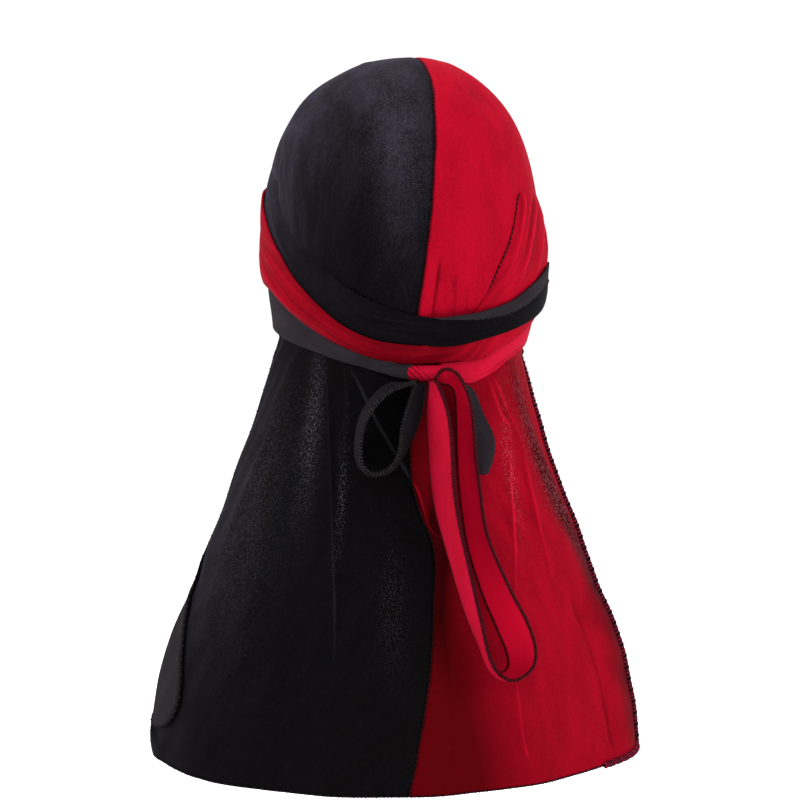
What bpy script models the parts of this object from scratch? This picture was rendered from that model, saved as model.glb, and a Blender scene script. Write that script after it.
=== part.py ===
"""A two-colour velvet durag, tied at the back of the head and held up as a head holds it.

Metres, +Z up. The wearer would face -Y, so the tail hangs on the +Y side and the wearer's left,
the black side, is +X. The origin is the middle of the head at the crown's widest level.
Each half of the cap is one cloth panel from the brow over the crown to the hem of the tail.
Each strap starts wide at one temple, goes round the head and comes back to the knot.
"""
import bmesh
import bpy
import numpy as np

# Sizes of the head that the cap is pulled over
HEAD_HALF_WIDTH = 0.0760
HEAD_BACK = 0.0985
HEAD_FRONT = 0.0965
CROWN_HEIGHT = 0.1065
NAPE_DROP = 0.060
NAPE_HALF_WIDTH = 0.0708
NAPE_BACK = 0.078
CROWN_LEAN = 0.0026

# Sizes of the cloth, the tail and the cap's edges
CLOTH = 0.0015
SEAM_GAP = 0.0004
SEAM_PEAK = 0.0022
TAIL_DROP = 0.236
HEM_HALF_WIDTH = 0.141
HEM_BACK = 0.104
TAIL_EDGE_BACK = 0.012
TAIL_SWAY = 0.0066
CORNER_RISE = 0.013
HEM_TILT = 0.0010
CORNER_RADIUS = 0.010
FOLD_HEIGHT = 0.0032
FLUTE_HEIGHT = 0.0016
FLUTES = 5.4
FLUTE_SHIFT = 0.059
FLUTE_TOP = 1.35
FLUTE_RAMP = 0.6
FOLD_RAMP = 0.22
SEAM_PEAK_SPREAD = 0.10
TEMPLE_REACH = 0.090
BROW_ANGLE = 49.0

# Sizes of the straps and how they lie on the cap and on each other
STRAP_WIDTH = 0.080
STRAP_GAP = 0.0007
STRAP_TUCK_MARGIN = 0.004
STRAP_TUCK_RAMP = 0.018
STRAP_START = -120.0
STRAP_FINISH = 350.0

# Sizes of the bow, measured from the knot
KNOT_LENGTH = 0.0256
KNOT_CLEARANCE = 0.0018
KNOT_HALF_HEIGHT = 0.0042
KNOT_HALF_DEPTH = 0.0044
KNOT_GATHERS = 5
GATHER_DEPTH = 0.0007
BOW_SEAT = 0.0003
BLACK_LOOP_LENGTH = 0.0468
BLACK_LOOP_SPREAD = 0.040
RED_LOOP_LENGTH = 0.1608
RED_LOOP_SPREAD = 0.055
BOW_STAND_OFF = 0.030
BLACK_END_LENGTH = 0.0508
BLACK_END_WIDTH = 0.0155

# Grid steps
PANEL_COLUMNS = 20
CAP_ROWS = 15
NAPE_ROWS = 9
TAIL_ROWS = 14
NAPE_FROM = 0.84
NAPE_TO = 1.16
STRAP_COLUMNS = 6
STRAP_STEP = 7.5
FINE_REACH = 42.0
RIBBON_COLUMNS = 3
KNOT_SIDES = 12

# Powers of the rounded outlines: the dome from behind, and each level section from above
DOME_SHOULDER = 2.6
DOME_CROWN = 2.35
SECTION_POWER = 2.15
BROW_NARROWING = 0.10

# Head below its widest level. Width and back are shares of the way from the crown's size to the
# nape's, side is a share of the tail edge's place and sway of the tail's. Drop 1 is the nape.
HEAD_SECTIONS = [
    dict(drop=-0.30, width=0.00, back=0.00, side=0.00, sway=-0.10),
    dict(drop=0.00, width=0.00, back=0.00, side=0.00, sway=-0.10),
    dict(drop=0.33, width=0.20, back=0.18, side=0.15, sway=0.00),
    dict(drop=0.67, width=0.78, back=0.60, side=0.50, sway=0.35),
    dict(drop=1.00, width=1.00, back=1.00, side=0.90, sway=0.80),
]

# Tail from the nape at drop 1 to the hem at drop 2, as shares of the way from nape to hem
TAIL_SECTIONS = [
    dict(drop=1.00, width=0.00, back=0.00),
    dict(drop=1.12, width=0.11, back=0.00),
    dict(drop=1.24, width=0.25, back=0.08),
    dict(drop=1.50, width=0.58, back=0.46),
    dict(drop=1.73, width=0.88, back=0.76),
    dict(drop=1.88, width=0.98, back=0.90),
    dict(drop=2.00, width=1.00, back=1.00),
]

# Side edge of the cap from the temple to the nape: run 0 is the brow, 1 the nape, 2 the hem
SIDE_EDGE = [
    dict(run=0.00, reach=1.00),
    dict(run=0.31, reach=0.69),
    dict(run=0.66, reach=0.38),
    dict(run=1.00, reach=0.12),
]

# Centre seam: where it wanders from the middle, as a share of the way to the black side edge
SEAM_LINE = [
    dict(run=0.00, across=0.000),
    dict(run=0.30, across=-0.026),
    dict(run=0.50, across=-0.030),
    dict(run=0.65, across=-0.008),
    dict(run=0.80, across=0.015),
    dict(run=1.00, across=0.026),
    dict(run=1.14, across=0.022),
    dict(run=1.27, across=0.014),
    dict(run=1.34, across=-0.022),
    dict(run=1.42, across=-0.080),
    dict(run=1.55, across=-0.074),
    dict(run=1.70, across=-0.050),
    dict(run=1.85, across=-0.006),
    dict(run=2.00, across=0.044),
]

# Folds as straight lines down the cloth. Across is a share of the way to the black (+) or red (-)
# side edge, left and right are the fold's spread on its two sides as shares of the same way, and
# rise is a share of the fold height. A small spread on one side makes that side an overhang.
FOLDS = [
    dict(top=1.02, foot=1.52, across=0.410, foot_across=-0.210, left=0.022, right=0.150, rise=1.0),
    dict(top=0.95, foot=1.76, across=0.655, foot_across=0.400, left=0.060, right=0.035, rise=0.8),
    dict(top=1.00, foot=1.30, across=0.510, foot_across=0.445, left=0.030, right=0.030, rise=0.5),
    dict(top=1.02, foot=1.22, across=-0.360, foot_across=-0.560, left=0.040, right=0.030, rise=0.7),
    dict(top=1.02, foot=1.62, across=-0.440, foot_across=-0.580, left=0.035, right=0.045, rise=0.8),
    dict(top=1.12, foot=1.66, across=-0.480, foot_across=-0.420, left=0.040, right=0.040, rise=0.6),
    dict(top=1.62, foot=2.05, across=-0.370, foot_across=-0.420, left=0.040, right=0.060, rise=0.7),
    dict(top=1.50, foot=2.05, across=-0.660, foot_across=-0.745, left=0.050, right=0.050, rise=-0.8),
    dict(top=1.32, foot=1.85, across=0.290, foot_across=-0.030, left=0.070, right=0.070, rise=0.5),
    dict(top=0.66, foot=0.90, across=-0.040, foot_across=-0.034, left=0.020, right=0.020, rise=-0.4),
    dict(top=0.64, foot=0.86, across=-0.070, foot_across=-0.150, left=0.020, right=0.020, rise=-0.4),
    dict(top=0.66, foot=0.88, across=0.210, foot_across=0.060, left=0.020, right=0.030, rise=0.3),
]

# Right strap, red. Turn is the angle round the head from its middle at the back, in degrees, in
# the way that the strap goes; level is a share of the crown height above the widest level and of
# the nape drop below it; width is a share of the strap's width.
RIGHT_STRAP = [
    dict(turn=-120, level=0.13, width=0.62),
    dict(turn=-105, level=0.09, width=0.82),
    dict(turn=-90, level=0.05, width=0.98),
    dict(turn=-75, level=0.04, width=0.98),
    dict(turn=-60, level=0.03, width=0.98),
    dict(turn=-50, level=-0.02, width=1.02),
    dict(turn=-42, level=-0.07, width=1.05),
    dict(turn=-36, level=-0.13, width=1.04),
    dict(turn=-30, level=-0.32, width=0.82),
    dict(turn=-24, level=-0.50, width=0.66),
    dict(turn=-18, level=-0.70, width=0.38),
    dict(turn=-12, level=-0.825, width=0.19),
    dict(turn=-6, level=-0.874, width=0.135),
    dict(turn=0, level=-0.885, width=0.127),
    dict(turn=10, level=-0.870, width=0.135),
    dict(turn=20, level=-0.825, width=0.138),
    dict(turn=30, level=-0.725, width=0.162),
    dict(turn=40, level=-0.58, width=0.22),
    dict(turn=50, level=-0.43, width=0.26),
    dict(turn=65, level=-0.19, width=0.32),
    dict(turn=90, level=0.065, width=0.50),
    dict(turn=120, level=0.19, width=0.42),
    dict(turn=150, level=0.34, width=0.32),
    dict(turn=180, level=0.47, width=0.27),
    dict(turn=210, level=0.33, width=0.27),
    dict(turn=240, level=-0.08, width=0.27),
    dict(turn=270, level=-0.61, width=0.26),
    dict(turn=300, level=-0.72, width=0.25),
    dict(turn=315, level=-0.835, width=0.205),
    dict(turn=326, level=-0.94, width=0.21),
    dict(turn=336, level=-1.03, width=0.195),
    dict(turn=345, level=-1.066, width=0.235),
    dict(turn=350, level=-1.066, width=0.22),
]

# Left strap, black, in the same terms, going the other way round
LEFT_STRAP = [
    dict(turn=-120, level=0.26, width=0.74),
    dict(turn=-105, level=0.25, width=0.85),
    dict(turn=-90, level=0.22, width=0.95),
    dict(turn=-75, level=0.17, width=0.85),
    dict(turn=-60, level=0.02, width=0.58),
    dict(turn=-45, level=-0.20, width=0.39),
    dict(turn=-30, level=-0.455, width=0.305),
    dict(turn=-15, level=-0.620, width=0.254),
    dict(turn=0, level=-0.668, width=0.17),
    dict(turn=10, level=-0.650, width=0.19),
    dict(turn=20, level=-0.610, width=0.21),
    dict(turn=30, level=-0.55, width=0.225),
    dict(turn=42, level=-0.45, width=0.27),
    dict(turn=55, level=-0.36, width=0.295),
    dict(turn=70, level=-0.30, width=0.30),
    dict(turn=90, level=-0.30, width=0.25),
    dict(turn=120, level=-0.10, width=0.27),
    dict(turn=150, level=0.09, width=0.27),
    dict(turn=180, level=0.24, width=0.27),
    dict(turn=210, level=0.07, width=0.32),
    dict(turn=240, level=-0.20, width=0.37),
    dict(turn=270, level=-0.43, width=0.42),
    dict(turn=290, level=-0.56, width=0.34),
    dict(turn=305, level=-0.675, width=0.26),
    dict(turn=317, level=-0.78, width=0.19),
    dict(turn=326, level=-0.86, width=0.165),
    dict(turn=334, level=-0.917, width=0.15),
    dict(turn=342, level=-0.97, width=0.132),
    dict(turn=350, level=-1.01, width=0.138),
]
BANDS = [
    dict(name="red", side=1, table=RIGHT_STRAP),
    dict(name="black", side=-1, table=LEFT_STRAP),
]

# Black loop of the bow, a ribbon between its near and far edges. Across and drop are shares of
# the loop's spread and length from the knot's underside, out is a share of the bow's stand-off.
BLACK_LOOP = [
    dict(near=0.16, near_drop=-0.01, near_out=0.30, far=0.11, far_drop=0.00, far_out=0.14),
    dict(near=0.36, near_drop=0.03, near_out=0.50, far=0.28, far_drop=0.02, far_out=0.20),
    dict(near=0.54, near_drop=0.06, near_out=0.66, far=0.55, far_drop=0.03, far_out=0.22),
    dict(near=0.72, near_drop=0.18, near_out=0.76, far=0.79, far_drop=0.21, far_out=0.22),
    dict(near=0.91, near_drop=0.42, near_out=0.83, far=0.93, far_drop=0.44, far_out=0.22),
    dict(near=0.99, near_drop=0.68, near_out=0.83, far=0.98, far_drop=0.71, far_out=0.22),
    dict(near=0.96, near_drop=0.89, near_out=0.80, far=0.94, far_drop=0.95, far_out=0.22),
    dict(near=0.83, near_drop=1.00, near_out=0.77, far=0.78, far_drop=1.07, far_out=0.22),
    dict(near=0.68, near_drop=1.00, near_out=0.77, far=0.60, far_drop=1.04, far_out=0.22),
    dict(near=0.57, near_drop=0.93, near_out=0.76, far=0.45, far_drop=0.97, far_out=0.22),
    dict(near=0.47, near_drop=0.76, near_out=0.73, far=0.30, far_drop=0.77, far_out=0.22),
    dict(near=0.41, near_drop=0.51, near_out=0.66, far=0.16, far_drop=0.52, far_out=0.22),
    dict(near=0.34, near_drop=0.30, near_out=0.56, far=0.09, far_drop=0.31, far_out=0.22),
    dict(near=0.25, near_drop=0.16, near_out=0.42, far=0.05, far_drop=0.16, far_out=0.20),
    dict(near=0.19, near_drop=0.08, near_out=0.36, far=0.04, far_drop=0.08, far_out=0.16),
]

# Red loop of the bow, in the same terms, long and hanging almost to the hem
RED_LOOP = [
    dict(near=0.06, near_drop=-0.012, near_out=0.46, far=0.08, far_drop=0.000, far_out=0.16),
    dict(near=0.14, near_drop=-0.048, near_out=0.60, far=0.15, far_drop=0.003, far_out=0.29),
    dict(near=0.27, near_drop=-0.028, near_out=0.73, far=0.22, far_drop=0.010, far_out=0.29),
    dict(near=0.35, near_drop=0.040, near_out=0.80, far=0.27, far_drop=0.040, far_out=0.30),
    dict(near=0.39, near_drop=0.13, near_out=0.85, far=0.28, far_drop=0.12, far_out=0.33),
    dict(near=0.42, near_drop=0.24, near_out=0.88, far=0.285, far_drop=0.23, far_out=0.37),
    dict(near=0.455, near_drop=0.36, near_out=0.94, far=0.30, far_drop=0.35, far_out=0.40),
    dict(near=0.48, near_drop=0.45, near_out=0.98, far=0.33, far_drop=0.45, far_out=0.44),
    dict(near=0.56, near_drop=0.545, near_out=1.03, far=0.385, far_drop=0.565, far_out=0.50),
    dict(near=0.76, near_drop=0.705, near_out=1.10, far=0.52, far_drop=0.72, far_out=0.60),
    dict(near=0.91, near_drop=0.805, near_out=1.13, far=0.665, far_drop=0.84, far_out=0.67),
    dict(near=1.00, near_drop=0.895, near_out=1.16, far=0.77, far_drop=0.93, far_out=0.70),
    dict(near=0.97, near_drop=0.96, near_out=1.16, far=0.77, far_drop=0.975, far_out=0.70),
    dict(near=0.79, near_drop=1.00, near_out=1.16, far=0.695, far_drop=0.99, far_out=0.70),
    dict(near=0.645, near_drop=0.98, near_out=1.16, far=0.63, far_drop=0.97, far_out=0.70),
    dict(near=0.56, near_drop=0.93, near_out=1.16, far=0.545, far_drop=0.92, far_out=0.70),
    dict(near=0.48, near_drop=0.815, near_out=1.16, far=0.44, far_drop=0.85, far_out=0.67),
    dict(near=0.38, near_drop=0.68, near_out=1.13, far=0.325, far_drop=0.74, far_out=0.60),
    dict(near=0.265, near_drop=0.495, near_out=1.10, far=0.18, far_drop=0.565, far_out=0.50),
    dict(near=0.20, near_drop=0.34, near_out=1.06, far=0.065, far_drop=0.41, far_out=0.43),
    dict(near=0.17, near_drop=0.195, near_out=1.03, far=0.015, far_drop=0.255, far_out=0.40),
    dict(near=0.14, near_drop=0.10, near_out=0.95, far=-0.005, far_drop=0.12, far_out=0.39),
    dict(near=0.09, near_drop=0.034, near_out=0.72, far=0.02, far_drop=0.042, far_out=0.34),
    dict(near=0.06, near_drop=0.014, near_out=0.45, far=0.03, far_drop=0.014, far_out=0.20),
]

# Free end of the black strap: across in widths from the knot, drop and width as shares
BLACK_END = [
    dict(across=-0.66, drop=-0.026, width=0.30, out=0.15),
    dict(across=-0.95, drop=0.02, width=0.56, out=0.17),
    dict(across=-1.30, drop=0.09, width=0.72, out=0.19),
    dict(across=-1.56, drop=0.34, width=0.90, out=0.19),
    dict(across=-1.88, drop=0.60, width=1.02, out=0.20),
    dict(across=-1.98, drop=0.81, width=0.80, out=0.20),
    dict(across=-1.96, drop=1.00, width=0.42, out=0.20),
]

BLACK_VELVET = (0.006, 0.006, 0.008, 1.0)
RED_VELVET = (0.42, 0.004, 0.012, 1.0)
BLACK_BACKING = (0.045, 0.040, 0.048, 1.0)
RED_BACKING = (0.62, 0.020, 0.060, 1.0)


def smooth(place, rows, key, column):
    """Value of a table's column at each place, on a smooth curve through its rows."""
    knots = np.array([row[key] for row in rows], float)
    values = np.array([row[column] for row in rows], float)
    slopes = np.gradient(values, knots)
    place = np.clip(place, knots[0], knots[-1])
    i = np.clip(np.searchsorted(knots, place, side="right") - 1, 0, len(knots) - 2)
    width = knots[i + 1] - knots[i]
    t = (place - knots[i]) / width
    return ((2*t**3 - 3*t**2 + 1) * values[i] + (t**3 - 2*t**2 + t) * width * slopes[i]
            + (3*t**2 - 2*t**3) * values[i + 1] + (t**3 - t**2) * width * slopes[i + 1])


def ease(t):
    """0 to 1 with flat ends."""
    t = np.clip(t, 0, 1)
    return t * t * (3 - 2*t)


def section(level):
    """Half width, back, front, side edge and sway of the cloth's outside at each level."""
    width = HEAD_HALF_WIDTH + CLOTH
    back = HEAD_BACK + CLOTH
    top = CROWN_HEIGHT + CLOTH
    above = np.clip(level, 0, None) / top
    dome = np.clip(1 - above**DOME_SHOULDER, 1e-9, 1)**(1 / DOME_CROWN)
    drop = np.where(level > -NAPE_DROP, -level / NAPE_DROP, 1 + (-level - NAPE_DROP) / TAIL_DROP)
    on_head = drop < 1
    head = {key: smooth(np.clip(drop, -0.3, 1), HEAD_SECTIONS, "drop", key)
            for key in ("width", "back", "side", "sway")}
    tail = {key: smooth(np.clip(drop, 1, 2), TAIL_SECTIONS, "drop", key)
            for key in ("width", "back")}
    half = np.where(on_head, width + (NAPE_HALF_WIDTH - width) * head["width"],
                    NAPE_HALF_WIDTH + (HEM_HALF_WIDTH - NAPE_HALF_WIDTH) * tail["width"])
    rear = np.where(on_head, back + (NAPE_BACK - back) * head["back"],
                    NAPE_BACK + (HEM_BACK - NAPE_BACK) * tail["back"])
    below = ease((drop - 1) / 0.2)
    side = TAIL_EDGE_BACK * np.where(on_head, head["side"], 0.9 + 0.1*below)
    sway = TAIL_SWAY * np.where(on_head, head["sway"], 0.8 + 0.2*below)
    lean = CROWN_LEAN * 4 * np.clip(above, 0, 1) * np.clip(1 - above, 0, 1)
    front = (HEAD_FRONT + CLOTH) * half / width
    return half * dome, rear * dome, front * dome, side, sway + lean


def is_outside(points):
    """Whether each point is outside the form that the cloth lies on."""
    half, rear, front, side, sway = section(points[..., 2])
    along = points[..., 1] - side
    reach = np.where(along > 0, np.maximum(rear - side, 1e-4), front)
    half = half * (1 - BROW_NARROWING * np.clip(-along / front, 0, 1))
    across = np.abs(points[..., 0] - sway) / half
    return across**SECTION_POWER + (np.abs(along) / reach)**SECTION_POWER > 1


def meet_form(start, way):
    """Where rays from inside the form reach its surface."""
    near = np.zeros(way.shape[:-1])
    far = np.full(way.shape[:-1], 2.5 * CROWN_HEIGHT)
    for _ in range(34):
        middle = (near + far) / 2
        out = is_outside(start + way * middle[..., None])
        near = np.where(out, near, middle)
        far = np.where(out, middle, far)
    return start + way * near[..., None]


def cloth_point(run, across):
    """Point of the plain cloth: run 0 brow, 1 nape, 2 hem, across -1 red edge to 1 black edge."""
    run, across = np.broadcast_arrays(np.asarray(run, float), np.asarray(across, float))
    angle = across * np.pi / 2
    turn = np.radians(BROW_ANGLE + (180 - BROW_ANGLE) * np.clip(run, 0, 1))
    corner = np.clip((np.abs(across) - 0.93) / 0.07, 0, 1)
    rise = CORNER_RISE * across**2 - HEM_TILT * across
    rise = rise + CORNER_RADIUS * (1 - np.sqrt(1 - corner**2))
    low = -NAPE_DROP - np.clip(run - 1, 0, 1) * (TAIL_DROP - rise)
    _, _, _, side, sway = section(low)
    on_head = run < 1
    reach = np.where(on_head, TEMPLE_REACH * smooth(run, SIDE_EDGE, "run", "reach"), side)
    lead = np.where(on_head, sway * ease((run - 0.6) / 0.4), sway)
    back, up = -np.cos(turn), np.sin(turn)
    start = np.stack([lead, reach * back, low + reach * up], -1)
    way = np.stack([np.sin(angle), np.cos(angle) * back, np.cos(angle) * up], -1)
    return meet_form(start, way)


def wrap_point(turn, level):
    """Point of the plain cloth at an angle round the head, in degrees, and a level."""
    turn, level = np.broadcast_arrays(np.radians(turn), level)
    start = np.stack([0 * level, 0 * level, level], -1)
    way = np.stack([np.sin(turn), np.cos(turn), 0 * level], -1)
    return meet_form(start, way)


def wrap_surface(angle, level_mm):
    """The same with the level in millimetres, so that one step suits both values."""
    return wrap_point(angle, level_mm / 1000)


def normals(surface, first, second, step):
    """Outward normals of a surface given as a function of two values."""
    along = surface(first + step, second) - surface(first - step, second)
    across = surface(first, second + step) - surface(first, second - step)
    normal = np.cross(along, across)
    return normal / np.linalg.norm(normal, axis=-1, keepdims=True)


def share_to_level(share):
    """Level in metres from a strap table's share."""
    return np.where(share > 0, share * CROWN_HEIGHT, share * NAPE_DROP)


def band_edges(band, turn):
    """Middle level and half width of a strap at each turn."""
    middle = share_to_level(smooth(turn, band["table"], "turn", "level"))
    half = 0.5 * STRAP_WIDTH * smooth(turn, band["table"], "turn", "width")
    return middle, half


def turns_at(band, angle):
    """The strap's own turns at an angle round the head: its start, main and finish passes."""
    turn = (band["side"] * angle + 180) % 360 - 180
    finish = np.where(turn < 0, turn + 360, turn)
    return dict(start=turn, main=turn, finish=finish)


def covers(band, part, angle, level, ramp):
    """1 where a pass of a strap covers a place, falling to 0 over a ramp beside it."""
    turn = turns_at(band, angle)[part]
    first, last = dict(start=(STRAP_START, 0), main=(0, 180), finish=(180, STRAP_FINISH))[part]
    arc = np.radians(np.clip(first - turn, 0, None) + np.clip(turn - last, 0, None))
    beyond = arc * HEAD_HALF_WIDTH
    middle, half = band_edges(band, np.clip(turn, first, last))
    beside = np.clip(np.abs(level - middle) - half, 0, None)
    apart = np.hypot(beside, beyond) - STRAP_TUCK_MARGIN
    return np.clip(1 - apart / ramp, 0, 1)


def lift(band, part, angle, level):
    """Height of a strap's inner side over the cloth, raised where it lies on other passes."""
    other = BANDS[1] if band is BANDS[0] else BANDS[0]
    below = dict(finish=[], start=[(band, "finish")],
                 main=[(other, "finish"), (other, "start")])[part]
    swap = np.abs((angle + 180) % 360 - 180)
    clear = ease(np.minimum(swap, 180 - swap) / 6)
    height = np.full(np.shape(level), STRAP_GAP)
    for lower, lower_part in below:
        step = lift(lower, lower_part, angle, level) + CLOTH + STRAP_GAP
        cover = covers(lower, lower_part, angle, level, STRAP_TUCK_RAMP)
        height = np.maximum(height, step * cover * clear)
    return height


def fold_height(run, across, points):
    """Folds, flutes and the peak of the seam, pressed flat under the straps."""
    height = np.zeros(run.shape)
    for fold in FOLDS:
        length = fold["foot"] - fold["top"]
        t = (run - fold["top"]) / length
        line = fold["across"] + (fold["foot_across"] - fold["across"]) * np.clip(t, 0, 1)
        beside = across - line
        spread = np.where(beside > 0, fold["left"], fold["right"])
        ends = ease(np.minimum(t, 1 - t) / FOLD_RAMP)
        height += FOLD_HEIGHT * fold["rise"] * ends * np.exp(-(beside / spread)**2)
    flutes = np.cos(np.pi * FLUTES * (across + FLUTE_SHIFT))
    height += FLUTE_HEIGHT * flutes * ease((run - FLUTE_TOP) / FLUTE_RAMP)
    seam = smooth(run, SEAM_LINE, "run", "across")
    peak = ease(run / 0.2) * ease((0.75 - run) / 0.3)
    height += SEAM_PEAK * peak * np.exp(-((across - seam) / SEAM_PEAK_SPREAD)**2)
    angle = np.degrees(np.arctan2(points[..., 0], points[..., 1]))
    pressed = np.zeros(run.shape)
    for band in BANDS:
        for part in ("start", "main", "finish"):
            cover = covers(band, part, angle, points[..., 2], STRAP_TUCK_RAMP)
            pressed = np.maximum(pressed, cover)
    return height * (1 - pressed)


def material(name, colour, roughness):
    made = bpy.data.materials.new(name)
    made.use_nodes = True
    shader = made.node_tree.nodes["Principled BSDF"]
    shader.inputs["Base Color"].default_value = colour
    shader.inputs["Roughness"].default_value = roughness
    shader.inputs["Metallic"].default_value = 0.0
    return made


def cloth_solid(name, outer, inner, finish):
    """Closed piece of cloth between two grids of points of the same size."""
    rows, columns = outer.shape[:2]
    mesh = bmesh.new()
    outside = [[mesh.verts.new(p) for p in row] for row in outer]
    inside = [[mesh.verts.new(p) for p in row] for row in inner]
    for i in range(rows - 1):
        for j in range(columns - 1):
            for side, order in ((outside, 1), (inside, -1)):
                corners = [side[i][j], side[i + 1][j], side[i + 1][j + 1], side[i][j + 1]]
                mesh.faces.new(corners[::order])
    ring = [(0, j) for j in range(columns - 1)]
    ring += [(i, columns - 1) for i in range(rows - 1)]
    ring += [(rows - 1, j) for j in range(columns - 1, 0, -1)]
    ring += [(i, 0) for i in range(rows - 1, 0, -1)]
    for (a, b), (c, d) in zip(ring, ring[1:] + ring[:1]):
        mesh.faces.new([outside[a][b], outside[c][d], inside[c][d], inside[a][b]])
    bmesh.ops.triangulate(mesh, faces=mesh.faces, quad_method="SHORT_EDGE")
    bmesh.ops.recalc_face_normals(mesh, faces=mesh.faces)
    data = bpy.data.meshes.new(name)
    mesh.to_mesh(data)
    mesh.free()
    data.shade_smooth()
    data.materials.append(finish)
    piece = bpy.data.objects.new(name, data)
    bpy.context.collection.objects.link(piece)
    return piece


def panel(name, side, finish):
    """Half of the cap with half of the tail, from the centre seam to its side edge."""
    run = np.concatenate([np.linspace(0, NAPE_FROM, CAP_ROWS),
                          np.linspace(NAPE_FROM, NAPE_TO, NAPE_ROWS)[1:],
                          np.linspace(NAPE_TO, 2, TAIL_ROWS)[1:]])
    share = np.linspace(0, 1, PANEL_COLUMNS + 1)
    seam = smooth(run, SEAM_LINE, "run", "across")
    first = seam + side * 0.5 * SEAM_GAP / HEAD_HALF_WIDTH
    across = first[:, None] + (side - first)[:, None] * share[None, :]
    run = np.repeat(run[:, None], PANEL_COLUMNS + 1, axis=1)
    points = cloth_point(run, across)
    # The normal is taken a little way in from the hem, the brow and the side edge
    out = normals(cloth_point, np.clip(run, 0.01, 1.97), np.clip(across, -0.92, 0.92), 0.004)
    if out[0, 0, 2] < 0:
        out = -out
    outer = points + out * fold_height(run, across, points)[..., None]
    return cloth_solid(name, outer, outer - CLOTH * out, finish)


def strap(band, name, finish):
    """One strap, from its wide start at the temple round the head to the knot."""
    # Every pass has its rows at the same angles round the head, finer where the straps cross
    turns = np.arange(STRAP_START, STRAP_FINISH, STRAP_STEP)
    between = turns + 0.5 * STRAP_STEP
    behind = np.abs((between + 180) % 360 - 180) < FINE_REACH
    turns = np.unique(np.concatenate([turns, between[behind], [STRAP_FINISH]]))
    share = np.linspace(-1, 1, STRAP_COLUMNS + 1)
    middle, half = band_edges(band, turns)
    level = middle[:, None] + half[:, None] * share[None, :]
    angle = np.repeat(band["side"] * turns[:, None], STRAP_COLUMNS + 1, axis=1)
    points = wrap_point(angle, level)
    out = normals(wrap_surface, angle, 1000 * level, 0.5)
    out *= np.sign(np.sum(out * points * (1, 1, 0), axis=-1, keepdims=True))
    height = np.zeros(level.shape)
    for i, turn in enumerate(turns):
        part = "start" if turn < 0 else "main" if turn <= 180 else "finish"
        height[i] = lift(band, part, angle[i], level[i])
    inner = points + out * height[..., None]
    return cloth_solid(name, inner + CLOTH * out, inner, finish)


def knot_middle():
    """Middle of the knot, seated on the cloth at the nape just under the red strap."""
    middle, half = band_edges(BANDS[0], 0.0)
    level = middle - half - KNOT_CLEARANCE - KNOT_HALF_HEIGHT
    seat = wrap_point(0.0, level)[1] + STRAP_GAP
    return np.array([0.0, seat + KNOT_HALF_DEPTH, level])


def bow_root():
    """Where the bow's cloth starts: a seat's gap under the knot, on the side towards the cap."""
    middle = knot_middle()
    under = KNOT_HALF_HEIGHT + BOW_SEAT + 0.5 * CLOTH
    return middle - np.array([0.0, KNOT_HALF_DEPTH, under])


def knot(name, finish):
    """Short bundle of gathered cloth that the bow comes out of."""
    middle = knot_middle()
    along = np.linspace(-1, 1, 19)
    angle = np.linspace(0, 2 * np.pi, KNOT_SIDES, endpoint=False)
    taper = (1 - 0.55 * along**6)[:, None]
    gathers = GATHER_DEPTH * np.cos(along * np.pi * KNOT_GATHERS)[:, None]
    points = np.empty((len(along), KNOT_SIDES, 3))
    points[..., 0] = middle[0] + 0.5 * KNOT_LENGTH * along[:, None]
    # The side towards the cloth is flattened to follow the nape
    depth = (KNOT_HALF_DEPTH - GATHER_DEPTH + gathers) * taper * np.cos(angle)
    bend = wrap_point(np.degrees(points[..., 0] / NAPE_BACK), middle[2])[..., 1]
    points[..., 1] = bend + STRAP_GAP + KNOT_HALF_DEPTH + depth
    points[..., 2] = middle[2] + (KNOT_HALF_HEIGHT - GATHER_DEPTH + gathers) * taper * np.sin(angle)
    mesh = bmesh.new()
    loops = [[mesh.verts.new(p) for p in ring] for ring in points]
    for first, second in zip(loops, loops[1:]):
        for j in range(KNOT_SIDES):
            k = (j + 1) % KNOT_SIDES
            mesh.faces.new([first[j], first[k], second[k], second[j]])
    mesh.faces.new(loops[0])
    mesh.faces.new(loops[-1])
    bmesh.ops.triangulate(mesh, faces=mesh.faces)
    bmesh.ops.recalc_face_normals(mesh, faces=mesh.faces)
    data = bpy.data.meshes.new(name)
    mesh.to_mesh(data)
    mesh.free()
    data.shade_smooth()
    data.materials.append(finish)
    piece = bpy.data.objects.new(name, data)
    bpy.context.collection.objects.link(piece)
    return piece


def ribbon(name, near, far, columns, finish):
    """Ribbon of cloth between two edges that run side by side."""
    share = np.linspace(0, 1, columns + 1)[None, :, None]
    middle = near[:, None, :] * (1 - share) + far[:, None, :] * share
    along = np.gradient(middle, axis=0)
    across = np.gradient(middle, axis=1)
    out = np.cross(along, across)
    out /= np.linalg.norm(out, axis=-1, keepdims=True)
    return cloth_solid(name, middle + 0.5*CLOTH*out, middle - 0.5*CLOTH*out, finish)


def bow_loop(name, rows, spread, length, side, finish):
    """Loop of the bow from a table of its near and far edges."""
    root = bow_root()

    def edge(kind):
        return np.array([[side * spread * row[kind],
                          root[1] + BOW_STAND_OFF * row[kind + "_out"],
                          root[2] - length * row[kind + "_drop"]] for row in rows])
    return ribbon(name, edge("near"), edge("far"), RIBBON_COLUMNS, finish)


def free_end(name, finish):
    """Short free end of the black strap, which hangs behind the red loop."""
    root = bow_root()
    edges = []
    for way in (0.5, -0.5):
        edges.append(np.array([[BLACK_END_WIDTH * (row["across"] + way * row["width"]),
                                root[1] + BOW_STAND_OFF * row["out"],
                                root[2] - BLACK_END_LENGTH * row["drop"]] for row in BLACK_END]))
    return ribbon(name, edges[0], edges[1], 2, finish)


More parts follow.
